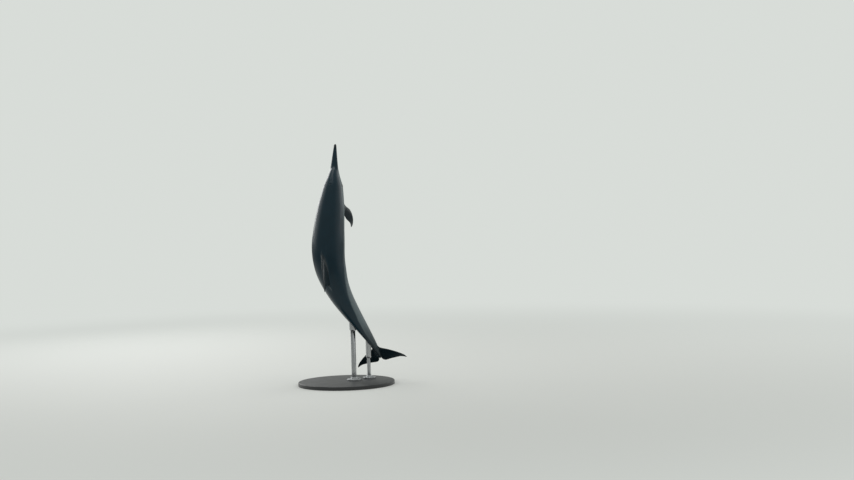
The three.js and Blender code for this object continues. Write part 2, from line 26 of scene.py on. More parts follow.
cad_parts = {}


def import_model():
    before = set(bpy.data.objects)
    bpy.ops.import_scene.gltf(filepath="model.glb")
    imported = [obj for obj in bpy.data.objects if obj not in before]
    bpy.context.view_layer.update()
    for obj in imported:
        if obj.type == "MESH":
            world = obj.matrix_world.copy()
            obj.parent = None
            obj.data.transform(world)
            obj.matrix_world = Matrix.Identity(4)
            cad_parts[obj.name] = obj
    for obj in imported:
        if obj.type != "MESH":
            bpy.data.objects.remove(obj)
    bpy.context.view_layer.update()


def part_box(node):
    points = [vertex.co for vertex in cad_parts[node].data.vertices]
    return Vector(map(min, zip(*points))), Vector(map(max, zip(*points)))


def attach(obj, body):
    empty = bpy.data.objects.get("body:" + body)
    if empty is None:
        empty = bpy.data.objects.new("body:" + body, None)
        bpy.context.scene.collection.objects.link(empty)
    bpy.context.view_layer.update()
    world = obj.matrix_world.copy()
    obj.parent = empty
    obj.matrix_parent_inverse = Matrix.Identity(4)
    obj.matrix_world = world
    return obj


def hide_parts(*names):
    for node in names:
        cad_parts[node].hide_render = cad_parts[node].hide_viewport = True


LOG = logging.getLogger("dolphin")
ROOT_BODY = "root"
MM = 0.001

BODY_LENGTH = 1.900
BEAK_TIP = (-0.055, 0.080, 1.896)
EYE_AT = 0.1725
EYE_ANGLE = 93.0
BASE_TOP = 28.0 * MM

Pair = tuple[float, float]
Triple = tuple[float, float, float]
Rows = tuple[Pair, ...]


class Side(Enum):
    """The two sides of the dolphin, as the sign of a place to its right."""

    RIGHT = 1
    LEFT = -1

    @property
    def word(self) -> str:
        """The side's name as node names use it."""
        return self.name.lower()


# ---------------------------------------------------------------- curves and the long axis


class Curve:
    """A smooth curve through (place, value) rows that never overshoots them."""

    def __init__(self, *rows: Pair) -> None:
        """Sets the curve up.

        Args:
            rows: (place, value) pairs in rising order of place.
        """
        self.places = [place for place, _ in rows]
        self.values = [value for _, value in rows]
        self.tangents = self._tangents()

    def _tangents(self) -> list[float]:
        """The slope of the curve at each row.

        Returns:
            One slope for each row.
        """
        pairs = list(zip(self.places, self.values))
        slopes = [(b[1] - a[1]) / (b[0] - a[0]) for a, b in zip(pairs, pairs[1:])]
        inner = [
            0.0 if a * b <= 0 else 2 * a * b / (a + b) for a, b in zip(slopes, slopes[1:])
        ]
        return [slopes[0], *inner, slopes[-1]]

    def __call__(self, place: float) -> float:
        """The value at a place, running straight on past both ends.

        Args:
            place: where along the curve.

        Returns:
            The value there.
        """
        last = len(self.places) - 1
        if place <= self.places[0]:
            return self.values[0] + self.tangents[0] * (place - self.places[0])
        if place >= self.places[last]:
            return self.values[last] + self.tangents[last] * (place - self.places[last])
        i = next(n for n in range(last) if self.places[n + 1] > place)
        span = self.places[i + 1] - self.places[i]
        t = (place - self.places[i]) / span
        rise = self.values[i + 1] - self.values[i]
        start_bow = (1 - t) * (self.tangents[i] * span - rise)
        end_bow = t * (self.tangents[i + 1] * span - rise)
        return self.values[i] + rise * t + t * (1 - t) * (start_bow - end_bow)

    def softened(self, place: float, reach: float) -> float:
        """The value averaged over a short reach, which takes the kinks out of a loft.

        Args:
            place: where along the curve.
            reach: how far to each side the average goes.

        Returns:
            The averaged value.
        """
        near = self(place - reach) + self(place + reach)
        return self(place) / 2 + near / 4

    def spans(self, place: float) -> bool:
        """Whether a place lies between the two ends of the curve."""
        return self.places[0] < place < self.places[-1]


def curve(*rows: Pair) -> Curve:
    """A dataclass field that holds a curve of its own."""
    return field(default_factory=lambda: Curve(*rows))


@dataclass(frozen=True)
class Place:
    """The local directions of the body round a point of its long axis."""

    origin: Vector
    forward: Vector
    back: Vector
    right: Vector

    def point(self, right: float, up: float, behind: float = 0.0) -> Vector:
        """A point from its distances to the right, up toward the back, and behind."""
        return self.origin + self.right * right + self.back * up - self.forward * behind


@dataclass
class BodyLine:
    """The bent long axis, from the beak tip to the fluke notch.

    "lean" is how far it leans toward the belly and "swing" toward the right, in degrees from
    upright, going up toward the beak. Places along it are shares of the body length.
    """

    length: float = BODY_LENGTH
    tip: Triple = BEAK_TIP
    steps: int = 500
    lean: Curve = curve(
        (0.0, 8), (0.1, 8.5), (0.25, 14), (0.4, 8.5), (0.55, -8.5), (0.7, -25.5), (0.85, -34),
        (0.94, -31), (1.0, -26),
    )
    swing: Curve = curve(
        (0.0, 2.5), (0.1, 1.5), (0.25, 4.7), (0.4, 2.4), (0.55, -14), (0.7, -24), (0.85, -21),
        (0.94, -16), (1.0, -12),
    )

    def __post_init__(self) -> None:
        """Walks the axis once, so that any place on it is quickly found."""
        step = self.length / self.steps
        self.points = [Vector(self.tip)]
        for i in range(self.steps):
            forward = self.directions((i + 0.5) / self.steps)[0]
            self.points.append(self.points[i] - forward * step)

    def directions(self, at: float) -> tuple[Vector, Vector, Vector]:
        """The ways to the beak, the back and the right.

        Args:
            at: share of the body length.

        Returns:
            The three unit directions.
        """
        lean = math.radians(self.lean(at))
        swing = math.radians(self.swing(at))
        forward = Vector(
            (
                math.sin(swing),
                math.cos(swing) * math.sin(lean),
                math.cos(swing) * math.cos(lean),
            )
        )
        back = Vector((0, -math.cos(lean), math.sin(lean)))
        return forward, back, forward.cross(back)

    def place(self, at: float) -> Place:
        """The local frame of the body.

        Args:
            at: share of the body length.

        Returns:
            The frame there, run straight on past both ends.
        """
        inside = min(max(at, 0.0), 1.0)
        i = min(int(inside * self.steps), self.steps - 1)
        forward, back, right = self.directions(inside)
        origin = self.points[i].lerp(self.points[i + 1], inside * self.steps - i)
        return Place(origin - forward * (at - inside) * self.length, forward, back, right)


# ---------------------------------------------------------------- the sections of the body


@dataclass
class BodyShape:
    """Half width, height to the back and depth to the belly, as shares of the body length."""

    line: BodyLine = field(default_factory=BodyLine)
    side: Curve = curve(
        (0.008, 0.0054), (0.04, 0.0091), (0.078, 0.0136), (0.098, 0.0166), (0.112, 0.0194),
        (0.135, 0.0253), (0.175, 0.0386), (0.215, 0.0462), (0.27, 0.0552), (0.34, 0.0614),
        (0.43, 0.0674), (0.52, 0.0629), (0.61, 0.0486), (0.7, 0.0354), (0.79, 0.0235),
        (0.87, 0.0151), (0.93, 0.0118), (0.95, 0.0113), (0.965, 0.0101), (0.975, 0.008),
        (0.984, 0.005), (0.9895, 0.003),
    )
    back: Curve = curve(
        (0.008, 0.0048), (0.04, 0.0076), (0.078, 0.0108), (0.098, 0.0148), (0.112, 0.0272),
        (0.135, 0.0402), (0.175, 0.0548), (0.215, 0.0634), (0.27, 0.0704), (0.34, 0.0768),
        (0.43, 0.08), (0.52, 0.0766), (0.61, 0.067), (0.7, 0.0556), (0.79, 0.0432),
        (0.87, 0.0324), (0.93, 0.0208), (0.955, 0.0119), (0.975, 0.0051), (0.984, 0.0031),
        (0.9895, 0.0021),
    )
    belly: Curve = curve(
        (0.008, 0.0064), (0.04, 0.0092), (0.078, 0.0128), (0.098, 0.0158), (0.112, 0.0186),
        (0.135, 0.0244), (0.175, 0.0376), (0.215, 0.0492), (0.27, 0.0616), (0.34, 0.0706),
        (0.43, 0.0752), (0.52, 0.0718), (0.61, 0.0616), (0.7, 0.0512), (0.79, 0.0418),
        (0.87, 0.0302), (0.93, 0.019), (0.955, 0.0112), (0.975, 0.005), (0.984, 0.0031),
        (0.9895, 0.0021),
    )
    keel: Curve = curve(
        (0.52, 1.0), (0.61, 1.03), (0.7, 1.09), (0.79, 1.2), (0.87, 1.35), (0.93, 1.3),
        (0.965, 1.1), (0.9895, 1.0),
    )
    melon_lag: Curve = curve((0.08, 0.0), (0.1, 0.013), (0.14, 0.013), (0.2, 0.0))
    jaw_tuck: Curve = curve((0.01, 0.06), (0.1, 0.09), (0.14, 0.03), (0.18, 0.0))
    nose_at: float = 0.008
    fit: float = 1.004
    soft_reach: Pair = (0.0015, 0.012)
    soft_from: float = 0.12
    soft_growth: float = 0.05

    def soft(self, sizes: Curve, at: float) -> float:
        """A size of the section, softened more where the body is big.

        Args:
            sizes: the curve of the size.
            at: share of the body length.

        Returns:
            The size, as a share of the body length.
        """
        least, most = self.soft_reach
        reach = min(most, least + self.soft_growth * max(at - self.soft_from, 0.0))
        return sizes.softened(at, reach)

    def nose(self, at: float) -> float:
        """How far the sections shrink to round off the beak tip, 1 behind it.

        Args:
            at: share of the body length.

        Returns:
            The share of their full size that they keep.
        """
        if at >= self.nose_at:
            return 1.0
        return math.sqrt(max(1 - (1 - at / self.nose_at) ** 2, 0.0))

    def point(self, at: float, degrees: float, out: float = 0.0) -> Vector:
        """A point on the skin.

        Args:
            at: share of the body length.
            degrees: angle from the middle of the back, plus to the right.
            out: metres outside the skin.

        Returns:
            The point.
        """
        angle = math.radians(degrees)
        sine, cosine = math.sin(angle), math.cos(angle)
        held = max(at, self.nose_at)
        keel = max(self.keel(held), 1.0) if held > self.keel.places[0] else 1.0
        pinched = math.copysign(abs(sine) ** keel, sine)
        width = self.soft(self.side, held)
        if cosine < 0:
            width *= 1 - self.tuck(held) * -cosine
            height = self.soft(self.belly, held)
        else:
            height = self.soft(self.back, held - self.lag(held) * sine * sine)
        size = self.line.length * self.nose(at) * self.fit
        place = self.line.place(at)
        return place.point((width * size + out) * pinched, (height * size + out) * cosine)

    def lag(self, at: float) -> float:
        """How much further back the melon starts at the sides than on the midline."""
        return self.melon_lag(at) if self.melon_lag.spans(at) else 0.0

    def tuck(self, at: float) -> float:
        """How much narrower the lower jaw is than the upper, as a share."""
        return max(self.jaw_tuck(at), 0.0) if at < self.jaw_tuck.places[-1] else 0.0

    def radius(self, at: float) -> float:
        """A rough radius of the section in metres, to turn distances into angles."""
        return self.side(max(at, self.nose_at)) * self.line.length


@dataclass
class Mouth:
    """The mouth line, from the beak tip to its corner below the brow."""

    shape: BodyShape
    corner_at: float = 0.14
    height: Curve = curve(
        (0.0, 0.0004), (0.07, -0.0006), (0.11, -0.0046), (0.128, -0.0064), (0.14, -0.0044),
    )
    behind: Curve = curve((0.14, 99.9), (EYE_AT, EYE_ANGLE), (0.22, 90.0), (0.25, 90.0))
    steepest: float = 0.9
    lip_width: float = 2.4 * MM
    widest_lip: float = 11.0
    groove_depth: float = 2.6 * MM
    groove_share: float = 0.3
    groove_fade: float = 0.012

    def angle(self, at: float) -> float:
        """The angle of the mouth line, and behind its corner of the line through the eye.

        Args:
            at: share of the body length.

        Returns:
            Degrees round from the middle of the back.
        """
        if at >= self.corner_at:
            return self.behind(min(at, self.behind.places[-1]))
        height = self.height(max(at, 0.0))
        belly = self.shape.soft(self.shape.belly, max(at, self.shape.nose_at))
        return 90 + math.degrees(math.asin(min(-height / belly, self.steepest)))

    def lip_angle(self, at: float) -> float:
        """How many degrees the lips stand from the mouth line, in the beak."""
        return min(math.degrees(self.lip_width / self.shape.radius(at)), self.widest_lip)

    def groove(self, at: float) -> float:
        """Depth of the mouth groove in metres, none behind the corner.

        Args:
            at: share of the body length.

        Returns:
            Its depth in metres.
        """
        left = (self.corner_at - at) / self.groove_fade
        if left <= 0:
            return 0.0
        deepest = self.groove_share * self.shape.radius(at) * self.shape.nose(at)
        return min(self.groove_depth, deepest) * min(left, 1.0)


@dataclass
class Columns:
    """How the lines that run along the body are spread round each section.

    Line 0 runs down the middle of the back and line 18 down the middle of the belly. Some lines
    draw together to take the lips, the eye and the roots of the fins.
    """

    mouth: Mouth
    count: int = 36
    even_step: float = 10.0
    head_end: float = 0.2
    lip_gap: Curve = curve((0.125, 4.0), (0.15, 8.5), (0.165, 10.0), (0.2, 10.0))
    dorsal_gap: Curve = curve(
        (0.4, 10.0), (0.42, 6.0), (0.4335, 2.4), (0.45, 6.0), (0.47, 10.8), (0.495, 13.8),
        (0.52, 14.0), (0.55, 12.4), (0.575, 8.4), (0.5962, 2.8), (0.61, 6.0), (0.64, 10.0),
    )
    flipper_angle: Curve = curve((0.2, 120.0), (0.24, 121.0), (0.295, 121.0), (0.33, 120.0))
    flipper_gap: Curve = curve(
        (0.2, 10.0), (0.235, 6.5), (0.2433, 3.8), (0.2525, 5.2), (0.262, 5.2), (0.278, 3.9),
        (0.2907, 2.6), (0.3, 6.0), (0.33, 10.0),
    )
    fluke_gap: Curve = curve(
        (0.88, 10.0), (0.905, 8.0), (0.92, 6.5), (0.9285, 12.0), (0.9378, 19.0), (0.947, 25.0),
        (0.956, 28.0), (0.9655, 29.0), (0.975, 27.0), (0.984, 22.0), (0.9895, 20.0),
    )

    def angle(self, column: int, at: float) -> float:
        """The angle of a line of the right half, in degrees from the middle of the back.

        Args:
            column: number of the line, 0 to half the count.
            at: share of the body length.

        Returns:
            The angle.
        """
        anchors = self.anchors(at)
        below = max(key for key in anchors if key <= column)
        above = min(key for key in anchors if key >= column)
        if below == above:
            return anchors[below]
        share = (column - below) / (above - below)
        return anchors[below] + (anchors[above] - anchors[below]) * share

    def anchors(self, at: float) -> dict[int, float]:
        """The angles of the lines that are set by a feature, by the number of the line.

        Args:
            at: share of the body length.

        Returns:
            Degrees round from the middle of the back, by number of line.
        """
        middle = self.mouth.angle(at)
        lips = self.middle_gap(at)
        if at > self.fluke_gap.places[0]:
            return {0: 0.0, 8: middle - lips, 9: middle, 10: middle + lips, 18: 180.0}
        fins = {11: 110.0, 12: 120.0, 13: 130.0}
        if self.flipper_gap.spans(at):
            root, gap = self.flipper_angle(at), self.flipper_gap(at)
            fins = {11: root - gap, 12: root, 13: root + gap}
        if at < self.head_end:
            fins = {14: 140.0}
        first = self.dorsal_gap(at) if self.dorsal_gap.spans(at) else self.even_step
        head = {0: 0.0, 1: first, 5: 50.0, 8: middle - lips, 9: middle, 10: middle + lips}
        return {**head, **fins, 16: 160.0, 18: 180.0}

    def middle_gap(self, at: float) -> float:
        """How far the lines beside the mouth, the eye and the flukes stand from the middle one.

        Args:
            at: share of the body length.

        Returns:
            The gap in degrees.
        """
        if at < self.lip_gap.places[0]:
            return self.mouth.lip_angle(at)
        if at < self.lip_gap.places[-1]:
            return self.lip_gap(at)
        return self.fluke_gap(at) if at > self.fluke_gap.places[0] else self.even_step

    def signed(self, column: int) -> tuple[int, int]:
        """The line's number on the right half, and the sign of its side.

        Args:
            column: number of the line, 0 to count - 1.

        Returns:
            The folded number, and 1 for the right side or -1 for the left.
        """
        return (column, 1) if column <= self.count // 2 else (self.count - column, -1)


# ---------------------------------------------------------------- the cage


@dataclass(frozen=True)
class Spot:
    """Where a point of the cage goes, and what the markings know of it there.

    "along" is its share of the body length, "round" its angle from the middle of the back as a
    share of half a turn, "lip" its distance in metres below the mouth line or the line through
    the eye, and "fin" how far out on a fin it is.
    """

    point: Vector
    along: float
    round: float
    lip: float = 0.0
    fin: float = 0.0


@dataclass(frozen=True)
class Address:
    """The number of a point's ring and of its line along the body."""

    row: int
    column: int


class Cage:
    """A mesh in edit mode whose points carry an address that extrusion hands on."""

    NUMBERS = ("row", "column", "limb")
    SHARES = ("along", "round", "lip", "fin")

    def __init__(self, name: str, ring_points: int) -> None:
        """Starts the cage as one filled ring.

        Args:
            name: name of the object.
            ring_points: how many points each ring has.
        """
        bpy.ops.object.select_all(action="DESELECT")
        bpy.ops.mesh.primitive_circle_add(vertices=ring_points, radius=0.01, fill_type="NGON")
        self.object = bpy.context.active_object
        self.object.name = name
        self.object.data.name = name
        bpy.ops.object.mode_set(mode="EDIT")
        bpy.ops.mesh.select_mode(type="VERT")
        mesh = self.mesh
        for number in self.NUMBERS:
            mesh.verts.layers.int.new(number)
        for share in self.SHARES:
            mesh.verts.layers.float.new(share)
        mesh.verts.ensure_lookup_table()
        column = mesh.verts.layers.int["column"]
        for i in range(ring_points):
            mesh.verts[i][column] = i

    @property
    def mesh(self) -> bmesh.types.BMesh:
        """The mesh as it stands in edit mode."""
        return bmesh.from_edit_mesh(self.object.data)

    def show(self) -> None:
        """Hands the moved points back to the edit mode."""
        bmesh.update_edit_mesh(self.object.data)

    def set_selected(
        self, where: Callable[[Address], Spot], row: int | None = None, limb: int | None = None
    ) -> None:
        """Puts each selected point in its place.

        Args:
            where: gives the spot for an address.
            row: number of the new ring, where the points are one.
            limb: number of the fin or feature that the points belong to.
        """
        mesh = self.mesh
        rows, columns, limbs = (mesh.verts.layers.int[name] for name in self.NUMBERS)
        shares = [mesh.verts.layers.float[name] for name in self.SHARES]
        for vertex in mesh.verts:
            if not vertex.select:
                continue
            if row is not None:
                vertex[rows] = row
            if limb is not None:
                vertex[limbs] = limb
            spot = where(Address(vertex[rows], vertex[columns]))
            vertex.co = spot.point
            for layer, value in zip(shares, (spot.along, spot.round, spot.lip, spot.fin)):
                vertex[layer] = value
        self.show()

    def extrude(self) -> None:
        """Extrudes the selected faces, ready to be put in place."""
        bpy.ops.mesh.extrude_region_move(TRANSFORM_OT_translate={"value": (0, 0, 0)})

    def select_patch(self, rows: Iterable[int], columns: Iterable[int]) -> None:
        """Selects the faces of the trunk between some rings and lines.

        Args:
            rows: numbers of the rings.
            columns: numbers of the lines.
        """
        bpy.ops.mesh.select_mode(type="FACE")
        bpy.ops.mesh.select_all(action="DESELECT")
        wanted_rows, wanted_columns = set(rows), set(columns)
        mesh = self.mesh
        row, column, limb = (mesh.verts.layers.int[name] for name in self.NUMBERS)
        for face in mesh.faces:
            face.select = all(
                v[row] in wanted_rows and v[column] in wanted_columns and v[limb] == 0
                for v in face.verts
            )
        mesh.select_flush_mode()
        self.show()

    def finish(self, levels: int) -> bpy.types.Object:
        """Leaves edit mode and turns the cage into the smooth surface.

        Args:
            levels: how often the cage is subdivided.

        Returns:
            The finished object.
        """
        bpy.ops.mesh.select_all(action="SELECT")
        bpy.ops.mesh.normals_make_consistent(inside=False)
        bpy.ops.object.mode_set(mode="OBJECT")
        smooth = self.object.modifiers.new("smooth", "SUBSURF")
        smooth.levels = levels
        smooth.render_levels = levels
        bpy.ops.object.modifier_apply(modifier=smooth.name)
        bpy.ops.object.shade_smooth()
        return self.object


# ---------------------------------------------------------------- trunk


@dataclass
class Trunk:
    """The beak, head, body and tail stock, as rings from the beak tip to the fluke notch.

    Each stretch of rings is (where it starts, where it ends, how many steps it takes).
    """

    columns: Columns
    nose: tuple[float, ...] = (0.0002, 0.0009, 0.0022, 0.0045)
    stretches: tuple[tuple[float, float, int], ...] = (
        (0.008, 0.085, 10), (0.085, 0.0985, 4), (0.0985, 0.115, 5), (0.115, 0.15, 4),
        (0.15, 0.195, 6), (0.195, 0.2433, 5), (0.2433, 0.2907, 6), (0.2907, 0.4478, 11),
        (0.4478, 0.5962, 12), (0.5962, 0.92, 23), (0.92, 0.9285, 1), (0.9285, 0.984, 6),
        (0.984, 0.9895, 1),
    )
    mouth_line: int = 9

    def __post_init__(self) -> None:
        """Works out where each ring goes."""
        self.shape = self.columns.mouth.shape
        self.rings = list(self.nose)
        for start, end, steps in self.stretches:
            self.rings += [start + (end - start) * i / steps for i in range(steps)]
        self.rings.append(self.stretches[-1][1])

    def row_near(self, at: float) -> int:
        """The number of the ring nearest to a share of the body length."""
        return min(range(len(self.rings)), key=lambda row: abs(self.rings[row] - at))

    def spot(self, address: Address) -> Spot:
        """Where a point of the trunk goes.

        Args:
            address: its ring and line.

        Returns:
            Its spot.
        """
        at = self.rings[address.row]
        column, sign = self.columns.signed(address.column)
        degrees = self.columns.angle(column, at)
        mouth = self.columns.mouth
        out = -mouth.groove(at) if column == self.mouth_line else 0.0
        point = self.shape.point(at, sign * degrees, out)
        lip = math.radians(degrees - mouth.angle(at)) * self.shape.radius(at)
        return Spot(point, at, degrees / 180, lip)

    def build(self, cage: Cage) -> None:
        """Extrudes the trunk ring by ring.

        Args:
            cage: the cage, which is one ring so far.
        """
        cage.set_selected(self.spot, row=0)
        for row in range(1, len(self.rings)):
            cage.extrude()
            cage.set_selected(self.spot, row=row)
        LOG.info("trunk: %d rings of %d points", len(self.rings), self.columns.count)


# ---------------------------------------------------------------- fins


@dataclass(frozen=True)
class Chord:
    """The line from the leading to the trailing edge of a fin at one share of its length.

    "bow" is how far the middle of the line stands out of a straight one.
    """

    lead: Vector
    trail: Vector
    thick_way: Vector
    thickness: float
    bow: Vector = field(default_factory=Vector)


@dataclass
class Blade:
    """A fin that is extruded layer by layer from a patch of the trunk.

    The patch is two faces wide. Its first ring becomes the leading edge and its last ring the
    trailing edge, and its three lines become the two faces of the fin and the edge between them.
    "root_edge" is how much thicker the edges are at the root, and "fillet" how much thicker the
    whole fin is there, each up to a share of its length. "layers" are shares of its length.
    """

    trunk: Trunk
    thin_edge: float = 0.8 * MM
    root_edge: float = 0.0
    root_edge_to: float = 0.35
    edge_round: float = 0.012
    fullness: float = 1.25
    taper: float = 0.85
    thickness: float = 0.15
    thinning: float = 0.3
    thinnest: float = 3.0 * MM
    fillet: float = 0.6
    fillet_to: float = 0.3
    limb: int = 1
    root_from: float = 0.0
    root_to: float = 0.0
    lines: tuple[int, int, int] = (0, 0, 0)
    layers: tuple[float, ...] = ()

    def chord(self, share: float) -> Chord:
        """The chord at a share of the fin's length."""
        raise NotImplementedError

    def near_root(self, share: float) -> float:
        """1 at the root, falling to 0 where the fillet ends."""
        return max(1 - share / self.fillet_to, 0.0) ** 2

    def depth(self, width: float, share: float) -> float:
        """How thick the fin is where its chord has some width."""
        thickness = width * self.thickness * (1 - self.thinning * share)
        return max(thickness * (1 + self.fillet * self.near_root(share)), self.thinnest)

    def section(self, share: float, along: float, face: int) -> Vector:
        """A point of the fin's surface.

        Args:
            share: share of the fin's length.
            along: share of the chord behind the leading edge.
            face: 1 and -1 for the two faces, 0 for the edge between them.

        Returns:
            The point.
        """
        chord = self.chord(share)
        held = min(max(along, self.edge_round), 1 - self.edge_round) if face else along
        bulge = 2 * math.sqrt(held * (1 - held)) * (self.fullness - self.taper * held)
        edge = self.thin_edge + self.root_edge * max(1 - share / self.root_edge_to, 0.0) ** 2
        half = max(bulge * chord.thickness / 2, edge)
        middle = chord.lead.lerp(chord.trail, held) + chord.bow * 4 * held * (1 - held)
        return middle + chord.thick_way * half * face

    def build(self, cage: Cage) -> None:
        """Extrudes the fin.

        Args:
            cage: the cage with its trunk.
        """
        first, last = self.trunk.row_near(self.root_from), self.trunk.row_near(self.root_to)
        cage.select_patch(range(first, last + 1), self.lines)
        faces = {self.lines[0]: 1, self.lines[1]: 0, self.lines[2]: -1}
        for share in self.layers:

            def where(address: Address, share: float = share) -> Spot:
                """Where a point of this layer goes."""
                step = (address.row - first) / (last - first)
                along = (step + (1 - math.cos(math.pi * step)) / 2) / 2
                point = self.section(share, along, faces[address.column])
                at = self.trunk.rings[address.row]
                column = self.trunk.columns.signed(address.column)[0]
                degrees = self.trunk.columns.angle(column, at)
                return Spot(point, at, degrees / 180, 1.0, share)

            cage.extrude()
            cage.set_selected(where, limb=self.limb)
        LOG.info("%s: %d layers", type(self).__name__, len(self.layers))


@dataclass
class DorsalFin(Blade):
    """The tall, slightly hooked fin on the middle of the back."""

    limb: int = 1
    root_from: float = 0.4335
    root_to: float = 0.5962
    lines: tuple[int, int, int] = (1, 0, 35)
    layers: tuple[float, ...] = (
        0.03, 0.075, 0.13, 0.2, 0.3, 0.41, 0.52, 0.63, 0.73, 0.82, 0.89, 0.94, 0.975, 0.995,
    )
    at: float = 0.522
    base: float = 0.282
    height: float = 0.182
    tip_behind: float = 0.128
    tip_chord: float = 0.017
    lead_curve: float = 1.12
    lead_bulge: float = 0.024
    lead_bulge_at: float = 0.4
    trail_hollow: float = 0.034
    trail_hollow_at: float = 1.45
    round_from: float = 0.84
    tip_left: float = 0.2
    thickness: float = 0.135
    thinning: float = 0.25
    fillet: float = 0.42
    fillet_to: float = 0.25
    root_reach: float = 0.02
    root_sag: float = 0.011

    def chord(self, share: float) -> Chord:
        """The chord at a share of the fin's height.

        Args:
            share: share of the fin's length from its root.

        Returns:
            The chord there.
        """
        place = self.trunk.shape.line.place(self.at)
        foot = self.trunk.shape.back(self.at) * self.trunk.shape.line.length
        bow = 4 * share * (1 - share)
        lead_tip = self.tip_behind - self.tip_chord / 2
        trail_tip = self.tip_behind + self.tip_chord / 2
        lead = -self.base / 2 + (lead_tip + self.base / 2) * share**self.lead_curve
        lead -= self.lead_bulge * bow * (self.lead_bulge_at + share)
        trail = self.base / 2 + (trail_tip - self.base / 2) * share
        trail -= self.trail_hollow * bow * (self.trail_hollow_at - share)
        lead -= self.root_reach * self.near_root(share)
        rounded = max(share - self.round_from, 0.0) / (1 - self.round_from)
        width = (trail - lead) * max(math.sqrt(1 - rounded**2), self.tip_left)
        sag = self.root_sag * (1 - share) ** 2
        rise = foot + share * self.height - sag
        lead_point = place.point(0.0, rise, trail - width)
        trail_point = place.point(0.0, rise, trail)
        depth = self.depth(width, share)
        return Chord(lead_point, trail_point, place.right, depth, place.back * sag)


@dataclass
class PairedFin(Blade):
    """A fin that each side has one of, described as the right one."""

    side: Side = Side.RIGHT

    def __post_init__(self) -> None:
        """Moves the fin to the lines of its own side."""
        if self.side is Side.LEFT:
            self.limb += 1
            first, middle, last = (self.trunk.columns.count - line for line in self.lines)
            self.lines = (first, middle, last)


@dataclass
class Flipper(PairedFin):
    """One of the flippers, held down and back along the body with its tip curled in."""

    limb: int = 2
    lines: tuple[int, int, int] = (11, 12, 13)
    root_edge: float = 7.0 * MM
    root_from: float = 0.2433
    root_to: float = 0.2907
    layers: tuple[float, ...] = (
        0.15, 0.19, 0.245, 0.32, 0.41, 0.5, 0.6, 0.69, 0.77, 0.84, 0.9, 0.95, 0.985, 1.0,
    )
    at: float = 0.267
    angle: float = 121.0
    length: float = 0.228
    root_depth: float = 0.026
    sweep: float = 14.0
    droop: float = 72.0
    trail_back: float = 0.044
    curl: float = 0.062
    bulge: float = 0.009
    cup: float = 0.017
    thickness: float = 0.19
    thinning: float = 0.35
    fillet: float = 0.5
    fillet_to: float = 0.33
    lead_ease: float = 0.010
    trail_ease: float = 0.030
    ease_to: float = 0.3
    tangent_step: float = 0.01
    chords: Curve = curve(
        (0.0, 0.090), (0.3, 0.094), (0.65, 0.062), (0.86, 0.036), (0.95, 0.023), (0.985, 0.013),
        (1.0, 0.004),
    )

    def outward(self, place: Place) -> Vector:
        """The way that the flipper points, apart from its sweep."""
        droop = math.radians(self.droop)
        return place.right * self.side.value * math.cos(droop) - place.back * math.sin(droop)

    def middle(self, share: float) -> Vector:
        """The middle of the chord at a share of the length.

        Args:
            share: share of the flipper's length from its root.

        Returns:
            The point.
        """
        place = self.trunk.shape.line.place(self.at)
        droop, sweep = math.radians(self.droop), math.radians(self.sweep)
        root = self.trunk.shape.point(self.at, self.side.value * self.angle)
        reach = self.length + self.root_depth
        outward = reach * share * math.cos(sweep) - self.curl * share**3 - self.root_depth
        backward = reach * share * math.sin(sweep) + self.trail_back * share**2
        away = place.right * self.side.value * math.sin(droop) + place.back * math.cos(droop)
        bend = self.bulge * math.sin(math.pi * min(share, 1.0)) - self.cup * share**3
        return root + self.outward(place) * outward - place.forward * backward + away * bend

    def chord(self, share: float) -> Chord:
        """The chord at a share of the flipper's length.

        Args:
            share: share of the flipper's length from its root.

        Returns:
            The chord there.
        """
        place = self.trunk.shape.line.place(self.at)
        flat = self.outward(place).cross(place.forward).normalized()
        run = self.middle(share + self.tangent_step) - self.middle(share - self.tangent_step)
        chord_way = run.cross(flat).normalized()
        if chord_way.dot(place.forward) > 0:
            chord_way.negate()
        width = self.chords(share)
        ease = max(1 - share / self.ease_to, 0.0)
        middle = self.middle(share)
        return Chord(
            middle - chord_way * (width / 2 - ease * self.lead_ease),
            middle + chord_way * (width / 2 - ease * self.trail_ease),
            flat * self.side.value,
            self.depth(width, share),
        )


@dataclass
class Fluke(PairedFin):
    """One half of the tail flukes, from the notch out to its swept tip."""

    limb: int = 4
    lines: tuple[int, int, int] = (8, 9, 10)
    root_from: float = 0.92
    root_to: float = 0.984
    layers: tuple[float, ...] = (
        0.13, 0.17, 0.22, 0.28, 0.36, 0.45, 0.54, 0.63, 0.72, 0.8, 0.87, 0.93, 0.97, 1.0,
    )
    at: float = 0.966
    half_span: float = 0.214
    notch_pull: float = 0.105
    pull_to: float = 0.36
    lead: Curve = curve(
        (0.0, -0.086), (0.12, -0.062), (0.2, -0.049), (0.4, -0.026), (0.7, 0.017), (0.9, 0.053),
        (0.97, 0.071), (1.0, 0.085),
    )
    trail: Curve = curve(
        (0.0, 0.049), (0.05, 0.056), (0.1, 0.067), (0.18, 0.0745), (0.4, 0.070), (0.75, 0.069),
        (1.0, 0.088),
    )

    def section(self, share: float, along: float, face: int) -> Vector:
        """A point of the fluke, drawn in toward the notch at the back of its root."""
        pull = self.notch_pull * max(1 - share / self.pull_to, 0.0) * along**4
        return super().section(share - pull, along, face)

    def chord(self, share: float) -> Chord:
        """The chord at a share of the half span.

        Args:
            share: share of the fluke's length from its root.

        Returns:
            The chord there.
        """
        place = self.trunk.shape.line.place(self.at)
        right = self.side.value * share * self.half_span
        lead, trail = self.lead(share), self.trail(share)
        depth = self.depth(trail - lead, share)
        return Chord(
            place.point(right, 0.0, lead), place.point(right, 0.0, trail), place.back, depth
        )


# ---------------------------------------------------------------- eyes, blowhole and slits


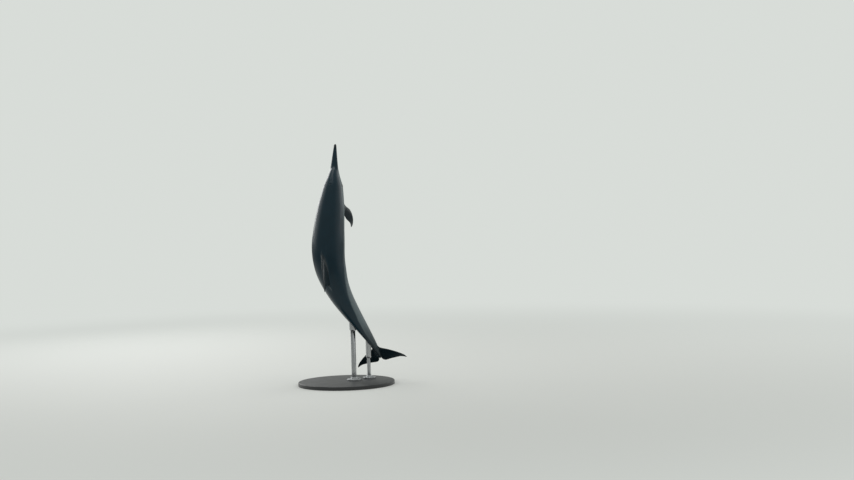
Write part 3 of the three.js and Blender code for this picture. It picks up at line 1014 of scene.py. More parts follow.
@dataclass(frozen=True)
class Loop:
    """One loop of points round a sunken feature.

    "half_along" and "half_across" are its half sizes along the body and round it, "out" how far
    it stands out of the skin, "dip" how much less at its two ends along the body, "bend" how far
    its two ends across the body are drawn forward, and "pinch" how much it narrows toward its two
    ends along the body.
    """

    half_along: float
    half_across: float
    out: float
    dip: float = 0.0
    bend: float = 0.0
    pinch: float = 0.0


def loops(*rows: Sequence[float]) -> tuple[Loop, ...]:
    """Loops from rows of their values, with every size in millimetres."""
    return tuple(Loop(*(size * MM for size in row[:5]), *row[5:]) for row in rows)


@dataclass
class Opening:
    """A feature that is sunk into a patch of the trunk loop by loop."""

    trunk: Trunk
    name: str
    at: float
    angle: float
    rows: Pair
    lines: tuple[int, ...]
    loops: tuple[Loop, ...]
    limb: int = 6

    def build(self, cage: Cage) -> None:
        """Sinks the feature.

        Args:
            cage: the cage with its trunk.
        """
        first, last = (self.trunk.row_near(at) for at in self.rows)
        cage.select_patch(range(first, last + 1), self.lines)
        half = (len(self.lines) - 1) / 2
        for loop in self.loops:

            def where(address: Address, loop: Loop = loop) -> Spot:
                """Where a point of this loop goes."""
                ahead = 1 - 2 * (address.row - first) / (last - first)
                across = self.lines.index(address.column) / half - 1
                return self.spot(loop, ahead, across)

            cage.extrude()
            cage.set_selected(where, limb=self.limb)
        LOG.info("%s: %d loops", self.name, len(self.loops))

    def spot(self, loop: Loop, ahead: float, across: float) -> Spot:
        """Where a point of a loop goes.

        Args:
            loop: the loop.
            ahead: its place in the patch along the body, from -1 to 1.
            across: its place in the patch round the body, from -1 to 1.

        Returns:
            Its spot.
        """
        x = ahead * math.sqrt(1 - across * across / 2)
        y = across * math.sqrt(1 - ahead * ahead / 2) * (1 - loop.pinch * x * x)
        along = x * loop.half_along + loop.bend * y * y
        shape = self.trunk.shape
        at = self.at - along / shape.line.length
        turn = math.degrees(y * loop.half_across / self.radius())
        degrees = self.angle + turn
        point = shape.point(at, degrees, loop.out - loop.dip * x * x)
        mouth = self.trunk.columns.mouth
        lip = math.radians(abs(degrees) - mouth.angle(at)) * shape.radius(at)
        return Spot(point, at, abs(degrees) / 180, lip)

    def radius(self) -> float:
        """Metres on the skin for each radian round the section at the feature.

        Returns:
            The radius in metres.
        """
        near = self.trunk.shape.point(self.at, self.angle - 1)
        far = self.trunk.shape.point(self.at, self.angle + 1)
        return (far - near).length / math.radians(2)


@dataclass
class Openings:
    """Every feature that is sunk into the skin."""

    trunk: Trunk
    eye_at: float = EYE_AT
    eye_angle: float = EYE_ANGLE
    eye_rows: Pair = (0.1575, 0.1875)
    eye_lines: tuple[int, ...] = (7, 8, 9, 10, 11)
    eye_loops: tuple[Loop, ...] = loops(
        (23.0, 18.0, 0.2),
        (19.5, 13.0, -0.3, 0.0, 0.0, 0.15),
        (16.2, 9.8, 1.3, 1.0, 0.0, 0.3),
        (13.6, 7.6, 2.3, 2.7, 0.0, 0.4),
        (11.6, 6.3, 1.8, 4.0, 0.0, 0.42),
        (11.0, 6.2, -0.2, 3.2, 0.0, 0.35),
        (14.5, 11.5, -6.5),
        (9.0, 7.0, -17.5),
    )
    blowhole_at: float = 0.179
    blowhole_rows: Pair = (0.165, 0.195)
    blowhole_lines: tuple[int, ...] = (34, 35, 0, 1, 2)
    blowhole_loops: tuple[Loop, ...] = loops(
        (20.0, 22.0, 0.0),
        (12.0, 17.5, 0.3, 0.0, 3.0),
        (5.5, 14.5, 0.6, 0.0, 5.5),
        (1.8, 12.5, -0.8, 0.0, 6.5),
        (0.9, 11.5, -6.0, 0.0, 6.5),
    )
    ear_at: float = 0.1999
    ear_angle: float = 96.0
    ear_rows: Pair = (0.195, 0.2047)
    ear_lines: tuple[int, ...] = (9, 10)
    ear_loops: tuple[Loop, ...] = loops((4.5, 4.5, -0.1), (2.2, 2.0, -0.5), (1.2, 1.0, -3.5))
    slit_angle: float = 180.0
    slit_lines: tuple[int, ...] = (17, 18, 19)
    slits: tuple[tuple[str, float, Pair, float], ...] = (
        ("navel", 0.4725, (0.4602, 0.4849), 7 * MM),
        ("genital slit", 0.6525, (0.6244, 0.6807), 36 * MM),
        ("vent", 0.7088, (0.6947, 0.7229), 10 * MM),
    )

    def lines(self, side: Side, right: tuple[int, ...]) -> tuple[int, ...]:
        """The lines of a patch on one side, in rising order, from those of the right side."""
        count = self.trunk.columns.count
        return right if side is Side.RIGHT else tuple(count - line for line in reversed(right))

    def eye(self, side: Side) -> Opening:
        """The lids round one eye and the closed pocket that holds the eyeball.

        Args:
            side: the side it is on.

        Returns:
            The opening.
        """
        lines, angle = self.lines(side, self.eye_lines), side.value * self.eye_angle
        name = f"eyelids {side.word}"
        return Opening(self.trunk, name, self.eye_at, angle, self.eye_rows, lines, self.eye_loops)

    def blowhole(self) -> Opening:
        """The crescent of the blowhole, its two ends drawn forward.

        Returns:
            The opening.
        """
        at, rows, lines = self.blowhole_at, self.blowhole_rows, self.blowhole_lines
        return Opening(self.trunk, "blowhole", at, 0.0, rows, lines, self.blowhole_loops)

    def ear(self, side: Side) -> Opening:
        """The pinhole of one ear, behind the eye.

        Args:
            side: the side it is on.

        Returns:
            The opening.
        """
        lines, angle = self.lines(side, self.ear_lines), side.value * self.ear_angle
        name = f"ear {side.word}"
        return Opening(self.trunk, name, self.ear_at, angle, self.ear_rows, lines, self.ear_loops)

    def slit(self, name: str, at: float, rows: Pair, half: float) -> Opening:
        """A slit along the middle of the belly.

        Args:
            name: what it is.
            at: share of the body length of its middle.
            rows: shares of the body length where its patch starts and ends.
            half: half its length in metres.

        Returns:
            The opening.
        """
        rings = (
            Loop(half + 9 * MM, 9.0 * MM, 0.3 * MM),
            Loop(half + 3 * MM, 4.5 * MM, 0.6 * MM),
            Loop(half, 1.4 * MM, -1.4 * MM),
            Loop(half - 2 * MM, 0.7 * MM, -4.0 * MM),
        )
        return Opening(self.trunk, name, at, self.slit_angle, rows, self.slit_lines, rings)

    def build(self, cage: Cage) -> None:
        """Sinks all of them.

        Args:
            cage: the cage with its trunk.
        """
        self.blowhole().build(cage)
        for side in Side:
            self.eye(side).build(cage)
            self.ear(side).build(cage)
        for slit in self.slits:
            self.slit(*slit).build(cage)


@dataclass
class DolphinSkin:
    """The whole skin in one closed piece."""

    shape: BodyShape = field(default_factory=BodyShape)
    levels: int = 2
    replaced: tuple[str, ...] = (
        "upper_beak", "lower_jaw", "head", "blowhole", "chest", "abdomen", "tail_stock",
        "peduncle", "dorsal_fin", "flipper_right", "flipper_left", "fluke_right", "fluke_left",
    )

    def build(self) -> bpy.types.Object:
        """Models the skin.

        Returns:
            The finished skin.
        """
        trunk = Trunk(Columns(Mouth(self.shape)))
        cage = Cage("dolphin_skin", trunk.columns.count)
        trunk.build(cage)
        DorsalFin(trunk).build(cage)
        for side in Side:
            Flipper(trunk, side=side).build(cage)
            Fluke(trunk, side=side).build(cage)
        Openings(trunk).build(cage)
        return cage.finish(self.levels)


# ---------------------------------------------------------------- eyes


@dataclass
class Eyeball:
    """One eyeball: a flattened ball with a low dome on its front."""

    shape: BodyShape
    side: Side
    at: float = EYE_AT
    angle: float = EYE_ANGLE
    half_sizes: Triple = (12.5 * MM, 9.5 * MM, 9.0 * MM)
    proud: float = 2.2 * MM
    segments: int = 48
    rings: int = 32
    dome_rise: float = 0.05
    dome_reach: float = 0.75
    near: Pair = (0.002, 1.0)

    def frame(self) -> Matrix:
        """The place and directions of the eye: along the body, across it and outward.

        Returns:
            The matrix that carries a ball at the origin to its place.
        """
        degrees = self.side.value * self.angle
        step, turn = self.near
        point = self.shape.point
        here = point(self.at, degrees)
        ahead = point(self.at - step, degrees) - point(self.at + step, degrees)
        round_way = point(self.at, degrees + turn) - point(self.at, degrees - turn)
        outward = round_way.cross(ahead).normalized()
        if outward.dot(here - self.shape.line.place(self.at).origin) < 0:
            outward.negate()
        along = self.shape.line.place(self.at).forward
        along = (along - outward * along.dot(outward)).normalized()
        across = outward.cross(along)
        centre = here + outward * (self.proud - self.half_sizes[2])
        basis = Matrix((along, across, outward)).transposed().to_4x4()
        return Matrix.Translation(centre) @ basis

    def build(self) -> bpy.types.Object:
        """Models the eyeball.

        Returns:
            The finished eyeball.
        """
        bpy.ops.object.select_all(action="DESELECT")
        bpy.ops.mesh.primitive_uv_sphere_add(
            segments=self.segments, ring_count=self.rings, radius=1.0
        )
        ball = bpy.context.active_object
        ball.name = ball.data.name = f"eyeball_{self.side.word}"
        bpy.ops.object.mode_set(mode="EDIT")
        bpy.ops.mesh.select_all(action="DESELECT")
        mesh = bmesh.from_edit_mesh(ball.data)
        for vertex in mesh.verts:
            off = math.hypot(vertex.co.x, vertex.co.y)
            if vertex.co.z > 0 and off < self.dome_reach:
                share = 1 - (off / self.dome_reach) ** 2
                vertex.co.z += self.dome_rise * share * share * (3 - 2 * share)
        bmesh.update_edit_mesh(ball.data)
        bpy.ops.mesh.select_all(action="SELECT")
        bpy.ops.transform.resize(value=self.half_sizes, center_override=(0, 0, 0))
        bpy.ops.object.mode_set(mode="OBJECT")
        for name, axis in (("ahead", 0), ("aside", 1)):
            layer = ball.data.attributes.new(name, "FLOAT", "POINT")
            layer.data.foreach_set("value", [vertex.co[axis] for vertex in ball.data.vertices])
        ball.matrix_world = self.frame()
        bpy.ops.object.transform_apply(location=True, rotation=True, scale=True)
        bpy.ops.object.shade_smooth()
        return ball


# ---------------------------------------------------------------- stand


@dataclass(frozen=True)
class Ring:
    """One ring of a turned piece: its radius, its height and how wide its edge is rounded."""

    radius: float
    height: float
    edge: float = 0.0


@dataclass
class Turned:
    """A round piece raised ring by ring from its foot, solid or with a bore."""

    name: str
    centre: Vector
    rings: tuple[Ring, ...]
    steps: int = 64
    bored: bool = False
    edge_steps: int = 4
    smooth_below: float = 40.0
    weld: float = 0.01 * MM
    near: float = 0.05 * MM

    def build(self) -> bpy.types.Object:
        """Models the piece.

        Returns:
            The finished piece.
        """
        bpy.ops.object.select_all(action="DESELECT")
        first = self.rings[0]
        bpy.ops.mesh.primitive_circle_add(
            vertices=self.steps,
            radius=first.radius,
            fill_type="NOTHING" if self.bored else "NGON",
            location=self.centre + Vector((0, 0, first.height)),
        )
        piece = bpy.context.active_object
        piece.name = piece.data.name = self.name
        bpy.ops.object.transform_apply(location=True)
        bpy.ops.object.mode_set(mode="EDIT")
        bpy.ops.mesh.select_mode(type="VERT")
        bpy.ops.mesh.select_all(action="SELECT")
        for below, ring in zip(self.rings, self.rings[1:]):
            bpy.ops.mesh.extrude_region_move(
                TRANSFORM_OT_translate={"value": (0, 0, ring.height - below.height)}
            )
            share = ring.radius / below.radius
            bpy.ops.transform.resize(
                value=(share, share, 1), center_override=self.centre + Vector((0, 0, ring.height))
            )
        bpy.ops.mesh.select_all(action="SELECT")
        bpy.ops.mesh.remove_doubles(threshold=self.weld)
        bpy.ops.mesh.normals_make_consistent(inside=False)
        for ring in self.rings:
            if ring.edge:
                self.round_edge(piece, ring)
        bpy.ops.object.mode_set(mode="OBJECT")
        bpy.ops.object.shade_smooth_by_angle(angle=math.radians(self.smooth_below))
        return piece

    def round_edge(self, piece: bpy.types.Object, ring: Ring) -> None:
        """Rounds the edge of one ring.

        Args:
            piece: the piece in edit mode.
            ring: the ring.
        """
        bpy.ops.mesh.select_mode(type="EDGE")
        bpy.ops.mesh.select_all(action="DESELECT")
        mesh = bmesh.from_edit_mesh(piece.data)
        for edge in mesh.edges:
            edge.select = all(self.on_ring(vertex.co, ring) for vertex in edge.verts)
        mesh.select_flush_mode()
        bmesh.update_edit_mesh(piece.data)
        bpy.ops.mesh.bevel(offset=ring.edge, segments=self.edge_steps, affect="EDGES")

    def on_ring(self, point: Vector, ring: Ring) -> bool:
        """Whether a point lies on a ring.

        Args:
            point: the point.
            ring: the ring.

        Returns:
            Whether it does.
        """
        off = point - self.centre
        gaps = (abs(off.z - ring.height), abs(off.xy.length - ring.radius))
        return max(gaps) < self.near


@dataclass
class SocketScrew:
    """A button-head screw with a hexagon socket."""

    radius: float = 7.0 * MM
    height: float = 4.0 * MM
    flat_radius: float = 5.0 * MM
    socket: float = 3.4 * MM
    socket_depth: float = 2.4 * MM
    wall_share: float = 0.45
    wall_edge: float = 0.5 * MM
    dome_shares: Pair = (0.9, 0.74)
    level: float = 0.99
    smooth_below: float = 35.0
    steps: int = 36

    def build(self) -> bpy.types.Object:
        """Models one screw at the origin.

        Returns:
            The finished screw.
        """
        wide, high = self.dome_shares
        rings = (
            Ring(self.radius, 0.0),
            Ring(self.radius, self.height * self.wall_share, self.wall_edge),
            Ring(self.radius * wide, self.height * high),
            Ring(self.flat_radius, self.height),
        )
        screw = Turned("screw", Vector(), rings, steps=self.steps).build()
        bpy.ops.object.mode_set(mode="EDIT")
        bpy.ops.mesh.select_mode(type="FACE")
        bpy.ops.mesh.select_all(action="DESELECT")
        mesh = bmesh.from_edit_mesh(screw.data)
        for face in mesh.faces:
            face.select = face.normal.z > self.level and len(face.verts) == self.steps
        bmesh.update_edit_mesh(screw.data)
        bpy.ops.mesh.inset(thickness=self.flat_radius - self.socket)
        for vertex in bmesh.from_edit_mesh(screw.data).verts:
            if vertex.select:
                turn = math.atan2(vertex.co.y, vertex.co.x) % (math.pi / 3) - math.pi / 6
                vertex.co.xy = vertex.co.xy.normalized() * (self.socket / math.cos(turn))
        bpy.ops.mesh.extrude_region_move(
            TRANSFORM_OT_translate={"value": (0, 0, -self.socket_depth)}
        )
        bpy.ops.object.mode_set(mode="OBJECT")
        bpy.ops.object.shade_smooth_by_angle(angle=math.radians(self.smooth_below))
        return screw


@contextmanager
def edited(piece: bpy.types.Object) -> Iterator[Sequence[bmesh.types.BMVert]]:
    """Gives the points of a piece's mesh to be moved.

    Args:
        piece: the piece, in object mode.

    Yields:
        The points, in edit mode until the block ends.
    """
    bpy.ops.object.mode_set(mode="EDIT")
    mesh = bmesh.from_edit_mesh(piece.data)
    yield mesh.verts
    bmesh.update_edit_mesh(piece.data)
    bpy.ops.object.mode_set(mode="OBJECT")


@dataclass
class Support:
    """One upright rod with its flange, its screws, its sleeve and the trim ring at the skin."""

    name: str
    line: BodyLine
    at: float
    radius: float
    sleeve_foot: float
    into_skin: float = 4.0 * MM
    top_edge: float = 2.0 * MM
    gap: float = 0.3 * MM
    base_top: float = BASE_TOP
    flange_width: float = 38.0 * MM
    flange_thickness: float = 12.0 * MM
    flange_edge: float = 3.0 * MM
    collar_height: float = 14.0 * MM
    collar_foot: float = 10.0 * MM
    collar_top: float = 6.0 * MM
    sleeve_wall: float = 7.0 * MM
    sleeve_lip: float = 2.0 * MM
    sleeve_taper: float = 10.0 * MM
    screws: int = 4
    screw_inset: float = 15.0 * MM
    trim: float = 1.7 * MM
    trim_out: float = 0.5
    trim_steps: tuple[int, int] = (72, 12)
    rod_edge: float = 1.0 * MM
    sleeve_edges: Pair = (0.7 * MM, 1.5 * MM)
    flange_foot_edge: float = 0.6 * MM
    collar_edges: Triple = (1.2 * MM, 1.5 * MM, 0.5 * MM)
    flange_steps: int = 96

    def foot(self, height: float) -> Vector:
        """The point of the rod's own axis at a height."""
        origin = self.line.place(self.at).origin
        return Vector((origin.x, origin.y, height))

    def rod(self, top: float) -> bpy.types.Object:
        """The rod, up into the skin.

        Args:
            top: height that it ends at, in metres.

        Returns:
            The finished rod.
        """
        height = top - self.base_top
        rings = tuple(Ring(self.radius, end, self.rod_edge) for end in (self.gap, height))
        return Turned(f"stand_{self.name}_rod", self.foot(self.base_top), rings).build()

    def sleeve(self, top: float) -> bpy.types.Object:
        """The tapered sleeve round the top of the rod.

        Args:
            top: height that it ends at, in metres.

        Returns:
            The finished sleeve.
        """
        inner = self.radius + self.gap
        height = top - self.sleeve_foot
        foot_edge, taper_edge = self.sleeve_edges
        rings = (
            Ring(inner, 0.0),
            Ring(inner + self.sleeve_lip, 0.0, foot_edge),
            Ring(inner + self.sleeve_wall, self.sleeve_taper, taper_edge),
            Ring(inner + self.sleeve_wall, height),
            Ring(inner, height),
            Ring(inner, 0.0),
        )
        foot = self.foot(self.sleeve_foot)
        return Turned(f"stand_{self.name}_sleeve", foot, rings, bored=True).build()

    def skin_over(self, skin: bpy.types.Object, x: float, y: float) -> float | None:
        """How high the skin is over a point of the base, if it is over it at all."""
        hit, point, _, _ = skin.ray_cast(Vector((x, y, self.base_top)), Vector((0, 0, 1)))
        return point.z if hit else None

    def cut_to_skin(self, piece: bpy.types.Object, skin: bpy.types.Object) -> bpy.types.Object:
        """Cuts the top of a piece to the slope of the skin, so that it ends just inside.

        Args:
            piece: the rod or the sleeve, taller than the place where it meets the skin.
            skin: the finished skin.

        Returns:
            The same piece.
        """
        lowest = self.sleeve_foot + self.sleeve_taper + self.into_skin
        with edited(piece) as points:
            top = max(point.co.z for point in points) - self.top_edge
            for point in points:
                height = self.skin_over(skin, point.co.x, point.co.y)
                if point.co.z > top and height is not None:
                    point.co.z = max(height + self.into_skin, lowest)
        return piece

    def flange(self) -> bpy.types.Object:
        """The flange on the base, with a collar round the rod.

        Returns:
            The finished flange.
        """
        inner = self.radius + self.gap
        rim = self.radius + self.flange_width
        top = self.flange_thickness + self.collar_height
        low_edge, high_edge, bore_edge = self.collar_edges
        rings = (
            Ring(inner, 0.0),
            Ring(rim, 0.0, self.flange_foot_edge),
            Ring(rim, self.flange_thickness, self.flange_edge),
            Ring(inner + self.collar_foot, self.flange_thickness, low_edge),
            Ring(inner + self.collar_top, top, high_edge),
            Ring(inner, top, bore_edge),
            Ring(inner, 0.0),
        )
        name, foot = f"stand_{self.name}_flange", self.foot(self.base_top + self.gap)
        return Turned(name, foot, rings, steps=self.flange_steps, bored=True).build()

    def screw_place(self, number: int) -> Vector:
        """Where one screw stands, numbered from 1.

        Args:
            number: the number of the screw.

        Returns:
            The point under its head.
        """
        turn = 2 * math.pi * (number - 0.5) / self.screws
        circle = self.radius + self.flange_width - self.screw_inset
        height = self.base_top + self.flange_thickness + 2 * self.gap
        return self.foot(height) + Vector((math.cos(turn), math.sin(turn), 0)) * circle

    def trim_ring(self, skin: bpy.types.Object) -> bpy.types.Object:
        """The thin ring that follows the skin where the sleeve meets it.

        Args:
            skin: the finished skin.

        Returns:
            The finished ring.
        """
        bpy.ops.object.select_all(action="DESELECT")
        outer = self.radius + self.gap + self.sleeve_wall
        foot = self.foot(self.sleeve_foot)
        bpy.ops.mesh.primitive_torus_add(
            major_radius=outer + self.trim * self.trim_out,
            minor_radius=self.trim,
            major_segments=self.trim_steps[0],
            minor_segments=self.trim_steps[1],
            location=foot,
        )
        ring = bpy.context.active_object
        ring.name = ring.data.name = f"stand_{self.name}_trim_ring"
        bpy.ops.object.transform_apply(location=True)
        with edited(ring) as points:
            for point in points:
                off = (point.co - foot).xy.normalized() * outer
                height = self.skin_over(skin, foot.x + off.x, foot.y + off.y)
                if height is not None:
                    point.co.z += height - foot.z
        bpy.ops.object.shade_smooth()
        return ring


@dataclass
class Stand:
    """The round base and the two supports that hold the dolphin up."""

    line: BodyLine = field(default_factory=BodyLine)
    base_radius: float = 380.0 * MM
    base_thickness: float = BASE_TOP
    base_edge: float = 6.0 * MM
    base_foot: float = 2.0 * MM
    base_steps: tuple[int, int] = (160, 6)

    def __post_init__(self) -> None:
        """Sets the two supports up."""
        self.supports = (
            Support("front", self.line, at=0.735, radius=19.0 * MM, sleeve_foot=420.0 * MM),
            Support("rear", self.line, at=0.865, radius=14.0 * MM, sleeve_foot=190.0 * MM),
        )

    def base(self) -> bpy.types.Object:
        """The round base board.

        Returns:
            The finished board.
        """
        rings = (
            Ring(self.base_radius - self.base_foot, 0.0),
            Ring(self.base_radius, self.base_foot),
            Ring(self.base_radius, self.base_thickness, self.base_edge),
        )
        steps, edge_steps = self.base_steps
        board = Turned("stand_board", Vector(), rings, steps=steps, edge_steps=edge_steps)
        return board.build()

    def build(self, skin: bpy.types.Object) -> None:
        """Models the stand and says what each piece is.

        Args:
            skin: the finished skin, for the pieces that fit it.
        """
        base = self.base()
        declare(base, "base_lacquer", LacquerFinish().make(), "stand_base")
        screw = SocketScrew().build()
        long_steel = SteelFinish(Grain.LONG).make(Vector())
        for support in self.supports:
            name = support.name
            turned_steel = SteelFinish(Grain.TURNED).make(support.foot(0.0))
            top = {part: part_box(f"stand_{part}_{name}")[1][2] for part in ("rod", "sleeve")}
            rod = support.cut_to_skin(support.rod(top["rod"] + support.into_skin), skin)
            declare(rod, "steel", long_steel, f"stand_rod_{name}")
            sleeve = support.cut_to_skin(support.sleeve(top["sleeve"] + support.into_skin), skin)
            declare(sleeve, "steel", long_steel, f"stand_sleeve_{name}")
            declare(support.flange(), "steel", turned_steel, f"stand_flange_{name}")
            declare(support.trim_ring(skin), "steel", long_steel)
            for number in range(1, support.screws + 1):
                copy = screw.copy()
                copy.data = screw.data.copy()
                copy.name = copy.data.name = f"stand_{name}_screw_{number}"
                bpy.context.collection.objects.link(copy)
                copy.data.transform(Matrix.Translation(support.screw_place(number)))
                declare(copy, "steel", turned_steel, f"stand_screw_{name}_{number}")
        bpy.data.objects.remove(screw)


def declare(piece: bpy.types.Object, slot: str, finish: bpy.types.Material, *nodes: str) -> None:
    """Gives a piece its finish and says what it rides on and what it stands for.

    Args:
        piece: the piece.
        slot: name of the record's material slot; not used.
        finish: its material.
        nodes: names of the nodes that it replaces.
    """
    piece.data.materials.clear()
    piece.data.materials.append(finish)
    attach(piece, ROOT_BODY)
    if nodes:
        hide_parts(*nodes)
    LOG.info("%s: %d faces", piece.name, len(piece.data.polygons))


# ---------------------------------------------------------------- finishes


def linear(colour: str) -> tuple[float, float, float, float]:
    """Turns a screen colour into the linear one that shaders take.

    Args:
        colour: six hexadecimal digits, red first.

    Returns:
        The linear red, green and blue, and full alpha.
    """
    parts = [int(colour[i : i + 2], 16) / 255 for i in (0, 2, 4)]
    red, green, blue = (
        part / 12.92 if part <= 0.04045 else ((part + 0.055) / 1.055) ** 2.4 for part in parts
    )
    return red, green, blue, 1.0


Socket = bpy.types.NodeSocket


class Paint:
    """A material in the making, with short ways to add its nodes."""

    def __init__(self, name: str) -> None:
        """Starts a material with its main shader.

        Args:
            name: name of the material.
        """
        self.material = bpy.data.materials.new(name)
        self.material.use_nodes = True
        self.tree = self.material.node_tree
        self.shader = self.tree.nodes["Principled BSDF"]

    def add(self, kind: str, **inputs: object) -> bpy.types.Node:
        """Adds a node.

        Args:
            kind: Blender's name of the node, without its leading "ShaderNode".
            inputs: values or sockets for its inputs, by name with _ for a space.

        Returns:
            The node.
        """
        node = self.tree.nodes.new("ShaderNode" + kind)
        for name, value in inputs.items():
            self.give(node.inputs[name.replace("_", " ")], value)
        return node

    def give(self, socket: Socket, value: object) -> None:
        """Links a socket to an input, or sets the input to a value.

        Args:
            socket: the input.
            value: a socket or a value.
        """
        if isinstance(value, Socket):
            self.tree.links.new(value, socket)
        else:
            socket.default_value = value

    def set(self, **inputs: object) -> None:
        """Sets inputs of the main shader, by name with _ for a space."""
        for name, value in inputs.items():
            self.give(self.shader.inputs[name.replace("_", " ")], value)

    def attribute(self, name: str) -> Socket:
        """The value that the mesh holds under a name.

        Args:
            name: name of the attribute.

        Returns:
            Its socket.
        """
        node = self.add("Attribute")
        node.attribute_name = name
        return node.outputs["Fac"]

    def where(self) -> Socket:
        """The place on the piece, in metres."""
        return self.add("TexCoord").outputs["Object"]

    def math(self, operation: str, *values: object) -> Socket:
        """The result of a sum on numbers or sockets.

        Args:
            operation: Blender's name of the sum.
            values: numbers or sockets.

        Returns:
            The result.
        """
        node = self.add("Math")
        node.operation = operation
        for socket, value in zip(node.inputs, values):
            self.give(socket, value)
        return node.outputs["Value"]

    def times(self, first: object, second: object) -> Socket:
        """The product of two values."""
        return self.math("MULTIPLY", first, second)

    def plus(self, first: object, second: object) -> Socket:
        """The sum of two values."""
        return self.math("ADD", first, second)

    def minus(self, first: object, second: object) -> Socket:
        """The first value less the second."""
        return self.math("SUBTRACT", first, second)

    def over(self, first: object, second: object) -> Socket:
        """The first value divided by the second."""
        return self.math("DIVIDE", first, second)

    def squared(self, value: object, size: object) -> Socket:
        """The square of a value measured by a size."""
        return self.math("POWER", self.over(value, size), 2.0)

    def away(self, where: Socket) -> Socket:
        """The distance of a place from the origin.

        Args:
            where: the place.

        Returns:
            The distance in metres.
        """
        node = self.add("VectorMath", Vector=where)
        node.operation = "LENGTH"
        return node.outputs["Value"]

    def step(self, value: object, low: object, high: object) -> Socket:
        """A smooth step from 0 at low to 1 at high.

        Args:
            value: what is read.
            low: where the step starts.
            high: where it ends.

        Returns:
            The step.
        """
        node = self.add("MapRange", Value=value, From_Min=low, From_Max=high)
        node.interpolation_type = "SMOOTHSTEP"
        return node.outputs["Result"]

    def spread(self, value: object, low: float, high: float) -> Socket:
        """A value from 0 to 1 spread between low and high."""
        return self.add("MapRange", Value=value, To_Min=low, To_Max=high).outputs["Result"]

    def carried(self, value: object, start: Pair, end: Pair) -> Socket:
        """A value carried evenly from one span to another, and held at both ends."""
        spans = {"From_Min": start[0], "From_Max": start[1], "To_Min": end[0], "To_Max": end[1]}
        return self.add("MapRange", Value=value, **spans).outputs["Result"]

    def noise(self, where: Socket, scale: float, detail: float = 3.0, warp: float = 0.0) -> Socket:
        """A soft noise around one half."""
        node = self.add("TexNoise", Vector=where, Scale=scale, Detail=detail, Distortion=warp)
        return node.outputs["Fac"]

    def stretched(self, where: Socket, scale: Triple) -> Socket:
        """A place with each of its directions scaled."""
        return self.add("Mapping", Vector=where, Scale=scale).outputs["Vector"]

    def curve(self, value: Socket, rows: Sequence[Pair]) -> Socket:
        """The value of a curve through rows of places and values, all from 0 to 1.

        Args:
            value: where on the curve.
            rows: its rows, in rising order of place.

        Returns:
            The value there.
        """
        node = self.add("FloatCurve", Value=value)
        points = node.mapping.curves[0].points
        points[0].location, points[1].location = rows[0], rows[-1]
        for place, height in rows[1:-1]:
            points.new(place, height)
        node.mapping.update()
        return node.outputs["Value"]

    def mix(self, share: object, first: object, second: object) -> Socket:
        """A colour between two others.

        Args:
            share: how much of the second there is.
            first: hexadecimal digits or a socket.
            second: the same.

        Returns:
            The colour.
        """
        node = self.add("Mix")
        node.data_type = "RGBA"
        self.give(node.inputs[0], share)
        self.give(node.inputs[6], linear(first) if isinstance(first, str) else first)
        self.give(node.inputs[7], linear(second) if isinstance(second, str) else second)
        return node.outputs[2]

    def bump(self, height: Socket, strength: float, depth: float, under: object = None) -> Socket:
        """A bumped normal, over another one if it is given.

        Args:
            height: what raises the surface.
            strength: how much it counts.
            depth: the height of 1, in metres.
            under: the normal below it, if any.

        Returns:
            The normal.
        """
        node = self.add("Bump", Height=height, Strength=strength, Distance=depth)
        if under is not None:
            self.give(node.inputs["Normal"], under)
        return node.outputs["Normal"]


